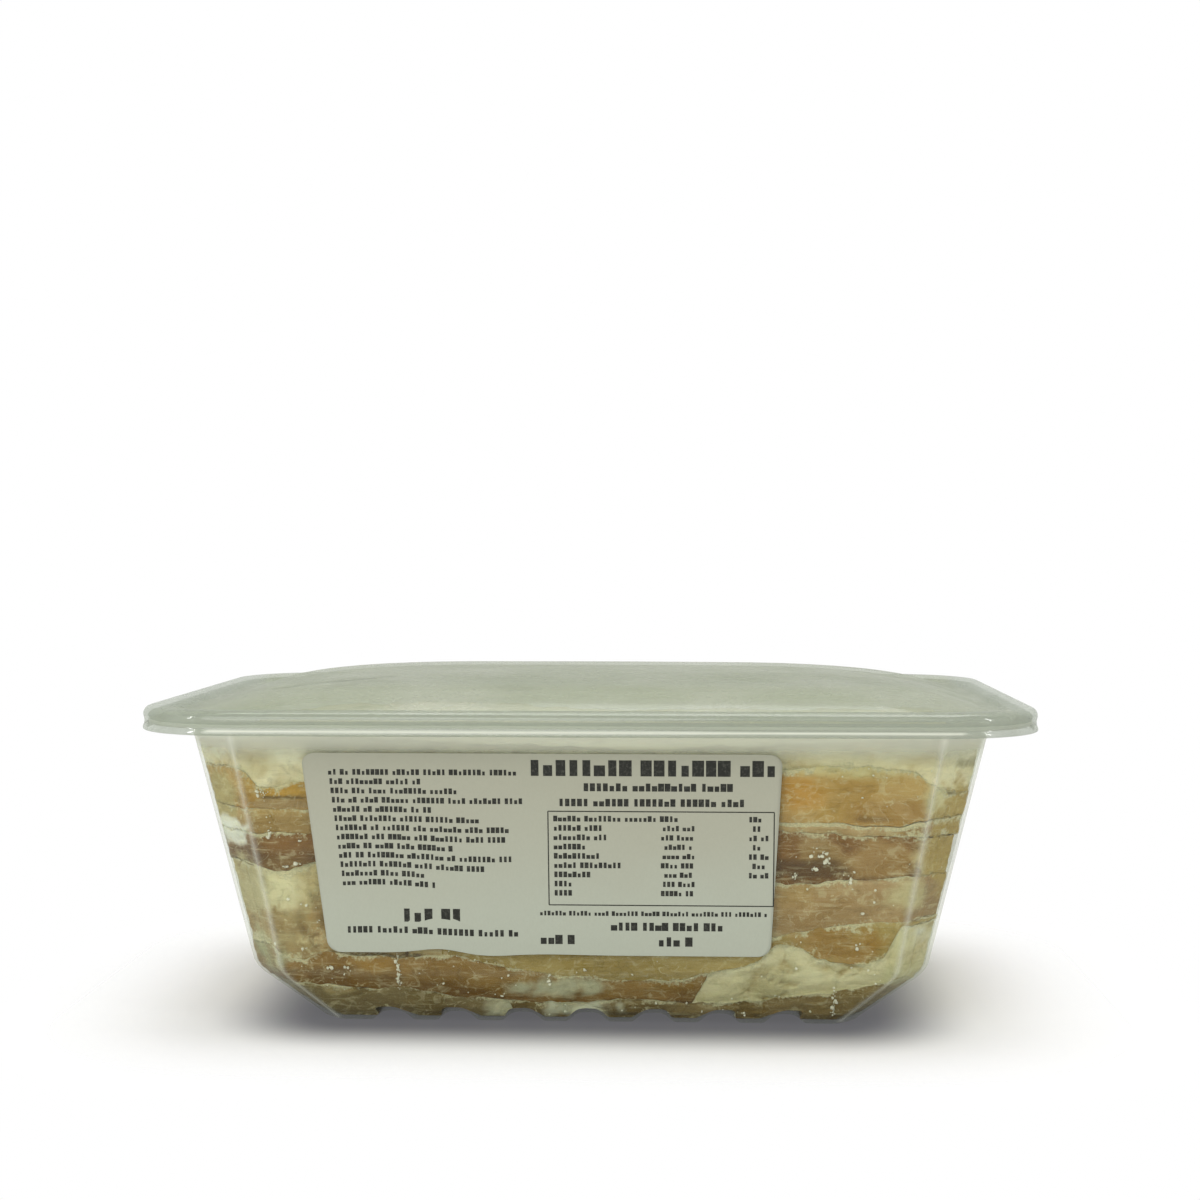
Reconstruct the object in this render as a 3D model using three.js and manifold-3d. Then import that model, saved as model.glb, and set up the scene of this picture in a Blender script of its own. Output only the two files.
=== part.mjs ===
// A lidded clear plastic tub of salted dried cod: a tapered tub with clipped corners and a ribbed base,
// a press-on cushioned lid, a paper label on the front wall, and the fillets stacked inside.
// Millimetres, +Z up. The origin is the middle of the base, the label faces -Y and the length lies along X.

import * as THREE from 'three';
import { mergeVertices } from 'three/addons/utils/BufferGeometryUtils.js';
import Module from 'manifold-3d';

const wasm = await Module();
wasm.setup();

// ---- driving dimensions ----

const TAU = 2 * Math.PI;
const WALL = 0.8;                 // thickness of the tub's wall
const LID_THICKNESS = 1;
const GAP = 0.3;                  // clearance between pieces that touch

const RIM_LENGTH = 220;           // the lid's outline
const RIM_DEPTH = 153;
const RIM_RADIUS = 26;
const SKIRT_BOTTOM = 73.7;
const BEAD_TOP = 79.5;
const BEAD_WIDTH = 7.6;
const CHANNEL_TOP = 78;           // the groove between the lid's bead and its cushion
const CHANNEL_WIDTH = 3.4;
const CUSHION_TOP = 86;

const FLANGE_BOTTOM = 75.1;
const FLANGE_TOP = 76.3;
const WALL_TOP = 73;
const KNEE = 13;                  // where the walls turn in towards the base

// The tub's outline at four heights: half length, half depth and the size of the clipped corner.
const SECTIONS = [
  { z: 0, length: 65.6, depth: 48, clip: 4 },
  { z: KNEE, length: 84.3, depth: 53.5, clip: 8.3 },
  { z: WALL_TOP, length: 98, depth: 65, clip: 11.7 },
  { z: FLANGE_TOP, length: 98.7, depth: 65.6, clip: 12 },
];
const EDGE_ROUND = 2.4;           // rounding where a panel meets a clipped corner

const RIB_COUNT = 7;              // grooves across the base, which leave eight feet
const RIB_PITCH = 16.26;
const RIB_HEIGHT = 2.5;
const RIB_HALF_WIDTH = 5.5;

const LABEL_TOP = 68.7;
const LABEL_BOTTOM = 18.5;
const LABEL_TOP_ENDS = [-68.7, 47.6];
const LABEL_BOTTOM_ENDS = [-63.7, 45];
const LABEL_RADIUS = 3;
const LABEL_THICKNESS = 0.25;

// Seams between the fillets: their height at the left end, the middle and the right end, and how much
// higher they lie at the back than in the middle.
const FISH_CLEARANCE = 0.6;       // from the fish to the wall
const SEAM_GAP = 0.5;
const SEAMS = {
  floor: { heights: [3.9, 3.9, 3.9], back: 0, swell: 0, ripple: 0 },
  first: { heights: [10, 8.9, 9], back: 0.6, swell: 0.3, ripple: 0.5 },
  second: { heights: [17, 16, 17.3], back: -0.8, swell: 0.5, ripple: 0.8 },
  third: { heights: [28, 27, 27.4], back: 1.2, swell: 0.7, ripple: 0.7 },
  fourth: { heights: [38.5, 37.5, 37.3], back: -0.6, swell: 0.9, ripple: 0.6 },
  fifth: { heights: [49, 48.4, 48.2], back: 0.8, swell: 1, ripple: 0.5 },
  sixth: { heights: [56, 53, 52.4], back: -0.5, swell: 1, ripple: 0.4 },
  seventh: { heights: [61.5, 63.8, 65], back: 0.9, swell: 1, ripple: 0.5 },
  top: { heights: [69.8, 70.8, 70.6], back: -0.7, swell: 1, ripple: 0.5 },
};

// The fillets from the base up. Each lies between two seams and reaches from left to right and from
// front to back in shares of the tub's half length and half depth. A slant turns an end across the tub.
const FILLETS = [
  { name: 'fillet_01', under: 'floor', over: 'first', ends: [-0.97, -0.2], sides: [-0.98, 0.96],
    slants: [0.02, 0.16], colour: 0xa38a63 },
  { name: 'fillet_02', under: 'floor', over: 'first', ends: [-0.17, 0.98], sides: [-0.97, 0.98],
    slants: [0.16, -0.02], colour: 0xb3ab84 },
  { name: 'fillet_03', under: 'first', over: 'second', ends: [-0.98, 0.24], sides: [-0.98, 0.98],
    slants: [-0.02, -0.2], colour: 0xa8966a },
  { name: 'fillet_04', under: 'first', over: 'second', ends: [0.27, 0.98], sides: [-0.99, 0.95],
    slants: [-0.2, 0.02], colour: 0xc2bd94 },
  { name: 'fillet_05', under: 'second', over: 'fourth', ends: [-0.98, -0.36], sides: [-0.97, 0.98],
    slants: [0.02, 0.14], colour: 0xcfc8a4 },
  { name: 'fillet_06', under: 'second', over: 'third', ends: [-0.33, 0.95], sides: [-0.985, 0.97],
    slants: [0.14, 0.04], colour: 0xa77f42 },
  { name: 'fillet_07', under: 'third', over: 'fourth', ends: [-0.33, 0.98], sides: [-0.97, 0.985],
    slants: [0.14, -0.02], colour: 0xc7b184 },
  { name: 'fillet_08', under: 'fourth', over: 'fifth', ends: [-0.98, 0.97], sides: [-0.985, 0.97],
    slants: [0.02, 0.03], colour: 0xa98a58 },
  { name: 'fillet_09', under: 'fifth', over: 'sixth', ends: [-0.97, -0.12], sides: [-0.97, 0.985],
    slants: [0.03, -0.18], colour: 0xb39b6c },
  { name: 'fillet_10', under: 'fifth', over: 'sixth', ends: [-0.09, 0.98], sides: [-0.985, 0.97],
    slants: [-0.18, 0.02], colour: 0xd9cfa9 },
  { name: 'fillet_11', under: 'sixth', over: 'seventh', ends: [-0.95, 0.93], sides: [-0.985, 0.96],
    slants: [-0.03, 0.1], colour: 0xd0a860 },
  { name: 'fillet_12', under: 'seventh', over: 'top', ends: [-0.94, 0.1], sides: [-0.97, 0.97],
    slants: [0.05, 0.22], colour: 0xd8d0ac },
  { name: 'fillet_13', under: 'seventh', over: 'top', ends: [0.14, 0.95], sides: [-0.975, 0.94],
    slants: [0.22, -0.06], colour: 0xdcd2ab },
];
const FILLET_STEP = 13.5;         // spacing of a fillet's grid
const EDGE_PINCH = 0.5;           // how far a fillet's faces close towards each other at its edge
const EDGE_INSET = 0.8;           // how far a fillet's faces end inside its edge
const MEAN_LENGTH = 90;           // the stack's half length and half depth at mid height
const MEAN_DEPTH = 58;
const RAGGED = 0.02;              // how far a fillet's outline wanders, as a share of the tub's half size

// ---- shared helpers ----

const lerp = (a, b, t) => a + (b - a) * t;

/** The tub's outline at a height, drawn in by an inset on every side. */
function sectionAt(z, inset = 0) {
  let upper = SECTIONS.findIndex((s) => s.z >= z);
  if (upper < 0) upper = SECTIONS.length - 1;
  upper = Math.max(upper, 1);
  const [a, b] = [SECTIONS[upper - 1], SECTIONS[upper]];
  const t = (z - a.z) / (b.z - a.z);
  return {
    z,
    length: lerp(a.length, b.length, t) - inset,
    depth: lerp(a.depth, b.depth, t) - inset,
    clip: lerp(a.clip, b.clip, t) - inset * (2 - Math.SQRT2),
  };
}

/** A closed ring of points, made by repeating one corner's points with the right signs and order. */
function ringFromCorner(corner, z) {
  const forward = [...corner];
  const backward = [...corner].reverse();
  return [
    ...forward.map(([x, y]) => [x, y, z]),
    ...backward.map(([x, y]) => [-x, y, z]),
    ...forward.map(([x, y]) => [-x, -y, z]),
    ...backward.map(([x, y]) => [x, -y, z]),
  ];
}

/** A clipped corner with its two edges rounded, from the end wall round to the long wall. */
function clippedRing({ z, length, depth, clip }) {
  const e = Math.min(EDGE_ROUND, clip * 0.35);
  const slope = e / Math.SQRT2;
  const bend = (a, b, c) => [(a[0] + 2 * b[0] + c[0]) / 4, (a[1] + 2 * b[1] + c[1]) / 4];
  const first = [length, depth - clip];
  const last = [length - clip, depth];
  const a = [[first[0], first[1] - e], first, [first[0] - slope, first[1] + slope]];
  const b = [[last[0] + slope, last[1] - slope], last, [last[0] - e, last[1]]];
  return ringFromCorner(
    [a[0], bend(...a), a[2], [(first[0] + last[0]) / 2, (first[1] + last[1]) / 2], b[0], bend(...b), b[2]],
    z,
  );
}

/** A rounded rectangle with as many points as a clipped ring. */
function roundedRing(length, depth, radius, z) {
  const corner = [];
  for (let i = 0; i < 7; i += 1) {
    const angle = (i / 6) * TAU / 4;
    corner.push([length - radius + radius * Math.cos(angle), depth - radius + radius * Math.sin(angle)]);
  }
  return ringFromCorner(corner, z);
}

/** A closed body through rings of equal count. Its two ends close on a point each. */
function loft(rings, firstPole, lastPole) {
  const count = rings[0].length;
  const points = [firstPole, ...rings.flat(), lastPole];
  const at = (ring, i) => 1 + ring * count + (i % count);
  const faces = [];
  for (let i = 0; i < count; i += 1) {
    faces.push([0, at(0, i + 1), at(0, i)]);
    for (let k = 0; k + 1 < rings.length; k += 1) {
      faces.push([at(k, i), at(k, i + 1), at(k + 1, i + 1)]);
      faces.push([at(k, i), at(k + 1, i + 1), at(k + 1, i)]);
    }
    faces.push([points.length - 1, at(rings.length - 1, i), at(rings.length - 1, i + 1)]);
  }
  return geometryFrom(points, faces);
}

function geometryFrom(points, faces) {
  const geometry = new THREE.BufferGeometry();
  geometry.setAttribute('position', new THREE.Float32BufferAttribute(points.flat(), 3));
  geometry.setIndex(faces.flat());
  return geometry;
}

function solidFrom(geometry) {
  const bare = geometry.clone();
  bare.deleteAttribute('normal');
  bare.deleteAttribute('uv');
  const merged = mergeVertices(bare);
  return new wasm.Manifold(new wasm.Mesh({
    numProp: 3,
    vertProperties: new Float32Array(merged.attributes.position.array),
    triVerts: new Uint32Array(merged.index.array),
  }));
}

function geometryOf(solid) {
  const mesh = solid.getMesh();
  const geometry = new THREE.BufferGeometry();
  geometry.setAttribute('position', new THREE.BufferAttribute(new Float32Array(mesh.vertProperties), 3));
  geometry.setIndex(new THREE.BufferAttribute(new Uint32Array(mesh.triVerts), 1));
  return geometry;
}

function piece(name, geometry, colour, roughness, opacity = 1) {
  const material = new THREE.MeshStandardMaterial({ color: colour, roughness, metalness: 0, opacity });
  material.transparent = opacity < 1;
  const mesh = new THREE.Mesh(geometry, material);
  mesh.name = name;
  return mesh;
}

// ---- tub ----

/** One groove across the base, as a bar along Y. It is grown by the wall for the tub's inside. */
function ribBar(x, grow) {
  const half = RIB_HALF_WIDTH + grow;
  const height = RIB_HEIGHT + grow;
  const shape = new THREE.Shape();
  shape.moveTo(-half - 0.8, -1);
  for (const [side, lift] of [[-1, grow], [-0.74, 0.38], [-0.5, 0.84], [-0.2, 1],
    [0.2, 1], [0.5, 0.84], [0.74, 0.38], [1, grow]]) {
    shape.lineTo(side * half, Math.abs(side) === 1 ? lift : lift * height);
  }
  shape.lineTo(half + 0.8, -1);
  shape.closePath();
  const bar = new THREE.ExtrudeGeometry(shape, { depth: RIM_DEPTH, bevelEnabled: false });
  bar.rotateX(TAU / 4);
  bar.translate(x, RIM_DEPTH / 2, 0);
  return solidFrom(bar);
}

function withoutRibs(solid, grow) {
  let cut = solid;
  for (let i = 0; i < RIB_COUNT; i += 1) {
    const x = (i - (RIB_COUNT - 1) / 2) * RIB_PITCH;
    cut = cut.subtract(ribBar(x, grow));
  }
  return cut;
}

function tubGeometry() {
  const flangeInset = LID_THICKNESS + GAP + 0.1;
  const flange = (z, inset = 0) => roundedRing(
    RIM_LENGTH / 2 - flangeInset - inset,
    RIM_DEPTH / 2 - flangeInset - inset,
    RIM_RADIUS - flangeInset - inset,
    z,
  );
  const outer = loft(
    [
      clippedRing(sectionAt(0, 1)),
      clippedRing(sectionAt(1, 0)),
      clippedRing(sectionAt(KNEE)),
      clippedRing(sectionAt(WALL_TOP)),
      clippedRing(sectionAt(FLANGE_BOTTOM - 0.5, -1.2)),
      flange(FLANGE_BOTTOM, 0.4),
      flange(FLANGE_BOTTOM + 0.4),
      flange(FLANGE_TOP),
    ],
    [0, 0, 0],
    [0, 0, FLANGE_TOP],
  );
  const inner = loft(
    [
      clippedRing(sectionAt(WALL, WALL + 0.8)),
      clippedRing(sectionAt(1.8, WALL)),
      clippedRing(sectionAt(KNEE, WALL)),
      clippedRing(sectionAt(WALL_TOP, WALL)),
      clippedRing({ ...sectionAt(FLANGE_TOP, 0), z: FLANGE_TOP + 1 }),
    ],
    [0, 0, WALL],
    [0, 0, FLANGE_TOP + 1],
  );
  const shell = withoutRibs(solidFrom(outer), 0).subtract(withoutRibs(solidFrom(inner), WALL));
  return geometryOf(shell);
}

// ---- lid ----

/** A ring of the lid, drawn in from its outline. */
function lidRing(inset, z) {
  return roundedRing(RIM_LENGTH / 2 - inset, RIM_DEPTH / 2 - inset, RIM_RADIUS - inset * 0.8, z);
}

/** A ring of the cushion: share 1 is its foot, share 0 its middle. */
function cushionRing(share, z) {
  const foot = BEAD_WIDTH + CHANNEL_WIDTH;
  const length = (RIM_LENGTH / 2 - foot) * share;
  const depth = (RIM_DEPTH / 2 - foot) * share;
  return roundedRing(length, depth, lerp(depth * 0.55, RIM_RADIUS - foot * 0.8, share ** 3), z);
}

const cushionHeight = (share) => lerp(CHANNEL_TOP, CUSHION_TOP, 1 - 0.25 * share ** 2 - 0.75 * share ** 8);

function lidGeometry() {
  const shares = [0.3, 0.55, 0.75, 0.88, 0.96, 1];
  const t = LID_THICKNESS;
  const under = [
    ...shares.map((s) => cushionRing(s, cushionHeight(s) - t)),
    lidRing(BEAD_WIDTH + 0.8, CHANNEL_TOP - t),
    lidRing(BEAD_WIDTH - 1.3, BEAD_TOP - t - 0.2),
    lidRing(t + 1.6, BEAD_TOP - t - 0.1),
    lidRing(t + 0.5, BEAD_TOP - t - 0.7),
    lidRing(t, SKIRT_BOTTOM + 2.6),
    lidRing(t, SKIRT_BOTTOM),
  ];
  const over = [
    lidRing(0.2, SKIRT_BOTTOM),
    lidRing(0, SKIRT_BOTTOM + 0.4),
    lidRing(0, BEAD_TOP - 2.1),
    lidRing(0.6, BEAD_TOP - 0.8),
    lidRing(2, BEAD_TOP),
    lidRing(BEAD_WIDTH - 1.8, BEAD_TOP),
    lidRing(BEAD_WIDTH - 0.4, BEAD_TOP - 0.5),
    lidRing(BEAD_WIDTH + 0.6, CHANNEL_TOP),
    ...shares.toReversed().map((s) => cushionRing(s, cushionHeight(s))),
  ];
  return loft([...under, ...over], [0, 0, CUSHION_TOP - t], [0, 0, CUSHION_TOP]);
}

// ---- label ----

/** The label's outline on the slanting wall: x along the tub and y up the wall from the label's foot. */
function labelShape(height) {
  const [bottomLeft, bottomRight] = LABEL_BOTTOM_ENDS;
  const [topLeft, topRight] = LABEL_TOP_ENDS;
  const r = LABEL_RADIUS;
  const leftIn = ((topLeft - bottomLeft) * r) / height;
  const rightIn = ((topRight - bottomRight) * r) / height;
  const shape = new THREE.Shape();
  shape.moveTo(bottomLeft + r, 0);
  shape.quadraticCurveTo(bottomLeft + 20, -0.8, bottomLeft + 25, 0.4);
  shape.quadraticCurveTo(bottomLeft + 31, 2, bottomLeft + 37, 0.4);
  shape.quadraticCurveTo(bottomLeft + 42, -0.6, bottomRight - r, -0.6);
  shape.quadraticCurveTo(bottomRight, -0.6, bottomRight + rightIn, r);
  shape.lineTo(topRight - rightIn, height - r);
  shape.quadraticCurveTo(topRight, height, topRight - r, height);
  shape.lineTo(topLeft + r, height);
  shape.quadraticCurveTo(topLeft, height, topLeft - leftIn, height - r);
  shape.lineTo(bottomLeft + leftIn, r);
  shape.quadraticCurveTo(bottomLeft, 0, bottomLeft + r, 0);
  return shape;
}

function labelMesh() {
  const low = sectionAt(LABEL_BOTTOM);
  const high = sectionAt(LABEL_TOP);
  const lean = Math.atan2(high.depth - low.depth, LABEL_TOP - LABEL_BOTTOM);
  const height = (LABEL_TOP - LABEL_BOTTOM) / Math.cos(lean);
  const geometry = new THREE.ExtrudeGeometry(labelShape(height), {
    depth: LABEL_THICKNESS,
    bevelEnabled: false,
    curveSegments: 4,
  });
  const mesh = piece('label', geometry, 0xb9b7a8, 0.55);
  mesh.rotation.x = TAU / 4 + lean;
  mesh.position.set(0, -low.depth - GAP, LABEL_BOTTOM);
  return mesh;
}

// ---- fillets ----

/** The slow rise and fall that every seam shares, over the tub's plan in shares of its half size. */
function swell(p, q) {
  const x = p * MEAN_LENGTH;
  const y = q * MEAN_DEPTH;
  return 1.3 * Math.sin(TAU * (x / 143 + 0.13)) * Math.cos((TAU * y) / 163)
    + 0.7 * Math.sin(TAU * (y / 97 - x / 201 + 0.4));
}

/** A shorter wave that each seam has to itself. */
function ripple(name, p, q) {
  const phase = Object.keys(SEAMS).indexOf(name) * 2.4;
  return Math.sin(7.6 * p + 1.9 * q + phase) * Math.cos(2.6 * q + 1.7 * phase);
}

function seamHeight(name, p, q) {
  const seam = SEAMS[name];
  const [left, middle, right] = seam.heights;
  const along = middle + ((right - left) / 2) * p + ((left + right) / 2 - middle) * p * p;
  return along + seam.back * q + seam.swell * swell(p, q) + seam.ripple * ripple(name, p, q);
}

/** How far an edge is drawn in at t along it. */
function ragged(t, phase) {
  return RAGGED * (1 + 0.6 * Math.sin(7 * t + phase) + 0.4 * Math.sin(17 * t + 2.3 * phase)) / 2;
}

/** A point of the plan at a height, kept inside the tub's clipped corners. */
function inTub(p, q, z) {
  const { length, depth, clip } = sectionAt(z, WALL + FISH_CLEARANCE);
  const x = p * length;
  const y = q * depth;
  const over = Math.max(0, Math.abs(x) + Math.abs(y) - (length + depth - clip));
  return [x - (Math.sign(x) * over) / 2, y - (Math.sign(y) * over) / 2, z];
}

/** A fillet: two uneven faces on one grid, joined round the edge by a bulging band. */
function filletGeometry({ under, over, ends, sides, slants }, phase) {
  const along = Math.round(((ends[1] - ends[0]) * MEAN_LENGTH) / FILLET_STEP);
  const across = Math.round(((sides[1] - sides[0]) * MEAN_DEPTH) / FILLET_STEP);
  const points = [];
  const grid = { top: [], bottom: [] };
  const middle = new Map();
  const border = (i, j) => i === 0 || j === 0 || i === along || j === across;
  const add = (point) => points.push(point) - 1;
  for (let i = 0; i <= along; i += 1) {
    grid.top.push([]);
    grid.bottom.push([]);
    for (let j = 0; j <= across; j += 1) {
      const s = i / along;
      const t = j / across;
      const left = ends[0] + slants[0] * (t - 0.5) + ragged(t, phase);
      const right = ends[1] + slants[1] * (t - 0.5) - ragged(t, phase + 1.7);
      const front = sides[0] + ragged(s, phase + 3.1);
      const back = sides[1] - ragged(s, phase + 4.6);
      const [p, q] = [lerp(left, right, s), lerp(front, back, t)];
      const low = seamHeight(under, p, q) + SEAM_GAP / 2;
      const high = seamHeight(over, p, q) - SEAM_GAP / 2;
      const edge = border(i, j);
      const pinch = edge ? Math.min(EDGE_PINCH, 0.12 * (high - low)) : 0;
      const inward = edge ? EDGE_INSET : 0;
      const [pc, qc] = [(left + right) / 2, (front + back) / 2];
      const pin = (z) => inTub(
        p - (Math.sign(p - pc) * (i === 0 || i === along ? inward : 0)) / MEAN_LENGTH,
        q - (Math.sign(q - qc) * (j === 0 || j === across ? inward : 0)) / MEAN_DEPTH,
        z,
      );
      grid.top[i].push(add(pin(high - pinch)));
      grid.bottom[i].push(add(pin(low + pinch)));
      if (edge) middle.set(`${i},${j}`, add(inTub(p, q, (low + high) / 2)));
    }
  }
  const faces = [];
  for (let i = 0; i < along; i += 1) {
    for (let j = 0; j < across; j += 1) {
      const [a, b, c, d] = [[i, j], [i + 1, j], [i + 1, j + 1], [i, j + 1]];
      const pick = (side, [u, v]) => grid[side][u][v];
      faces.push([pick('top', a), pick('top', b), pick('top', c)]);
      faces.push([pick('top', a), pick('top', c), pick('top', d)]);
      faces.push([pick('bottom', a), pick('bottom', c), pick('bottom', b)]);
      faces.push([pick('bottom', a), pick('bottom', d), pick('bottom', c)]);
    }
  }
  const rim = [];
  for (let i = 0; i < along; i += 1) rim.push([i, 0]);
  for (let j = 0; j < across; j += 1) rim.push([along, j]);
  for (let i = along; i > 0; i -= 1) rim.push([i, across]);
  for (let j = across; j > 0; j -= 1) rim.push([0, j]);
  rim.forEach(([i, j], k) => {
    const [u, v] = rim[(k + 1) % rim.length];
    const bands = [
      [grid.bottom[i][j], grid.bottom[u][v]],
      [middle.get(`${i},${j}`), middle.get(`${u},${v}`)],
      [grid.top[i][j], grid.top[u][v]],
    ];
    for (let level = 0; level < 2; level += 1) {
      const [[a, b], [d, c]] = [bands[level], bands[level + 1]];
      faces.push([a, b, c], [a, c, d]);
    }
  });
  return geometryFrom(points, faces);
}

// ---- assembly ----

const pack = new THREE.Group();
pack.add(piece('tub', tubGeometry(), 0xdfe5dc, 0.15, 0.3));
pack.add(piece('lid', lidGeometry(), 0xb4bba9, 0.3, 0.6));
pack.add(labelMesh());

const stack = new THREE.Group();
FILLETS.forEach((fillet, index) => {
  stack.add(piece(fillet.name, filletGeometry(fillet, 2.1 * index), fillet.colour, 0.8));
});
pack.add(stack);

export default pack;
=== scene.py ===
"""A clear lidded tub packed with layered fillets of salted dried cod.

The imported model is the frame: every piece here is made in its coordinates, in place of its solid.
Sizes in the code are millimetres and become metres where a mesh is made.
"""

import collections
import itertools
import math

import bmesh
import bpy
import numpy as np
from bpy.props import FloatProperty, FloatVectorProperty, IntProperty, PointerProperty
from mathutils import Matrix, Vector


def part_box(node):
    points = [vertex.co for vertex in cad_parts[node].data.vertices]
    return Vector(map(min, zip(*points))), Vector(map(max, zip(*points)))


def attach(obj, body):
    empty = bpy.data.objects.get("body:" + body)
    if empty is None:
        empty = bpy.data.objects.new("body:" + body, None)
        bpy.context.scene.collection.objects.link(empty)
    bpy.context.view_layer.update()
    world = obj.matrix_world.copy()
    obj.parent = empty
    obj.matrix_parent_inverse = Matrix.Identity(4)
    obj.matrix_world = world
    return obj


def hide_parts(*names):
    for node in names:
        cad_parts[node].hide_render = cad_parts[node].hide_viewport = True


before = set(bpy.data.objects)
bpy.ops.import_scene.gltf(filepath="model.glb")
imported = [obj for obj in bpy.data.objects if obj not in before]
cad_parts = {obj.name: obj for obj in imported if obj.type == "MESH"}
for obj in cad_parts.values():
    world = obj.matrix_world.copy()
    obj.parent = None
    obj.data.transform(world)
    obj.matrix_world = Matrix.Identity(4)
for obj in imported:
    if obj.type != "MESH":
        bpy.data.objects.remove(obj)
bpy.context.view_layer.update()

bl_info = {
    "name": "Salted cod tub",
    "version": (1, 0, 0),
    "blender": (4, 5, 0),
    "location": "3D View > Sidebar > Cod tub",
    "description": "Builds a clear tub of layered salted cod fillets with its lid and label",
    "category": "Add Mesh",
}

MM = 0.001
TAU = 2 * math.pi
WHITE = (1.0, 1.0, 1.0, 1.0)

# ---- sizes read from the frame ----

LID_LOW, LID_HIGH = (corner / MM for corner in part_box("lid"))
TUB_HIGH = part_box("tub")[1] / MM

RIM_HALF_LENGTH = LID_HIGH.x
RIM_HALF_DEPTH = LID_HIGH.y
CUSHION_TOP = LID_HIGH.z
SKIRT_BOTTOM = LID_LOW.z
FLANGE_TOP = TUB_HIGH.z
FLANGE_HALF_LENGTH = TUB_HIGH.x
FLANGE_HALF_DEPTH = TUB_HIGH.y

# ---- sizes that the solids were made with ----

WALL = 0.8
LID_THICKNESS = 1.0
RIM_RADIUS = 26.0
BEAD_TOP = 79.5
BEAD_WIDTH = 7.6
CHANNEL_TOP = 78.0
CHANNEL_WIDTH = 3.4
FLANGE_BOTTOM = 75.1
FLANGE_RADIUS = 24.6
WALL_TOP = 73.0
KNEE = 13.0                       # the height at which the wall's slope changes
KNEE_BLEND = 1.5                  # how far above and below the knee its bend is spread

# The tub's outline at four heights: height, half length, half depth, size of the clipped corner.
SECTIONS = np.array([
    (0.0, 65.6, 48.0, 4.0),
    (KNEE, 84.3, 53.5, 8.3),
    (WALL_TOP, 98.0, 65.0, 11.7),
    (76.3, 98.7, 65.6, 12.0),
])
EDGE_ROUND = 2.4

FISH_CLEARANCE = 0.15
FLOOR_GAP = 0.15
BASE_ROUND = 2.6                  # below this height the fish draws in, by the lean for each millimetre
BASE_LEAN = 0.55

# Seams between the fillets: height at the left end, the middle and the right end, rise towards the
# back, and shares of the common swell and of the seam's own ripple.
SEAMS = {
    "floor": ((3.9, 3.9, 3.9), 0.0, 0.0, 0.0),
    "first": ((10.0, 8.9, 9.0), 0.6, 0.3, 0.5),
    "second": ((17.0, 16.0, 17.3), -0.8, 0.5, 0.8),
    "third": ((28.0, 27.0, 27.4), 1.2, 0.7, 0.7),
    "fourth": ((38.5, 37.5, 37.3), -0.6, 0.9, 0.6),
    "fifth": ((49.0, 48.4, 48.2), 0.8, 1.0, 0.5),
    "sixth": ((56.0, 53.0, 52.4), -0.5, 1.0, 0.4),
    "seventh": ((61.5, 63.8, 65.0), 0.9, 1.0, 0.5),
    "top": ((69.8, 70.8, 70.6), -0.7, 1.0, 0.5),
}
SEAM_NAMES = list(SEAMS)
MEAN_LENGTH = 90.0                # half the stack's mean length and depth
MEAN_DEPTH = 58.0
SEAM_GAP = 0.25                   # how deep the gaps are that open here and there over a fillet
THINNEST = 1.0                    # the least thickness of a fillet
RAGGED = 0.004                    # how far a fillet's edge wanders, as a share of the tub

# The line that each seam follows along the front wall, as places along the tub and heights.
SEAM_FRONTS = {
    "first": (
        (-86, 11.5), (-70, 10.0), (-55, 8.4), (-46, 8.8), (-30, 6.2), (-20, 5.4), (2, 5.6), (15, 6.2),
        (26, 5.2), (38, 5.0), (44, 6.1), (50, 7.4), (56.5, 7.8), (64, 9.3), (73, 11.6), (82, 12.5)),
    "second": (
        (-86, 20.0), (-77.5, 19.0), (-74, 16.8), (-70, 16.0), (-65, 18.0), (-58, 17.6), (-47, 17.1),
        (-33, 17.4), (-19.5, 14.3), (-10.4, 12.3), (-4, 12.8), (8, 11.3), (22.4, 11.3), (31.5, 13.8),
        (42, 16.4), (46, 21.4), (49, 21.0), (52.7, 19.8), (56.2, 16.9), (60.7, 16.6), (65.2, 15.7),
        (70, 16.1), (73.4, 18.5), (74.4, 25.9), (84, 26.2)),
    "third": (
        (-86, 28.0), (40, 24.5), (46, 23.2), (52.6, 24.5), (59.3, 25.7), (68.3, 26.7), (73, 27.0),
        (86, 27.4)),
    "fourth": (
        (-88, 41.0), (-84, 40.3), (-79.9, 39.9), (-76.8, 38.8), (-73.2, 39.1), (-69, 40.9), (-62, 41.0),
        (-40, 38.5), (0, 37.5), (46.7, 36.8), (55.7, 36.9), (63.5, 37.4), (74.7, 37.9), (80.3, 38.3),
        (88, 38.5)),
    "fifth": ((-90, 48.6), (-68, 48.3), (0, 48.5), (47, 49.5), (57.6, 49.2), (66.6, 48.2), (90, 48.0)),
    "sixth": (
        (-92, 54.6), (-82, 54.1), (-68, 54.1), (0, 53.0), (47, 51.5), (57.6, 51.6), (68.7, 51.1),
        (77.6, 50.9), (79.8, 52.1), (90, 52.6)),
    "seventh": (
        (-92, 65.0), (-84, 64.3), (-81.8, 62.0), (-81, 59.8), (-77.2, 59.3), (-72.5, 60.9), (-69, 61.4),
        (-60, 62.8), (0, 63.8), (47.9, 65.1), (57.2, 66.0), (68.3, 65.7), (79.4, 64.3), (84, 61.7),
        (92, 58.5)),
}

# A fillet: seam below and above, reach along the tub and slants of the two ends, as shares of the
# tub, colour of the flesh and of its darker lower part, which is partly its own colour and partly
# painted shade above the seam below, how much salt whitens it, the size of its lumps in millimetres
# and its reach across the tub.
Fillet = collections.namedtuple(
    "Fillet", "under over ends slants flesh shade crust lumps sides", defaults=[(-1.0, 1.0)])

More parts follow.
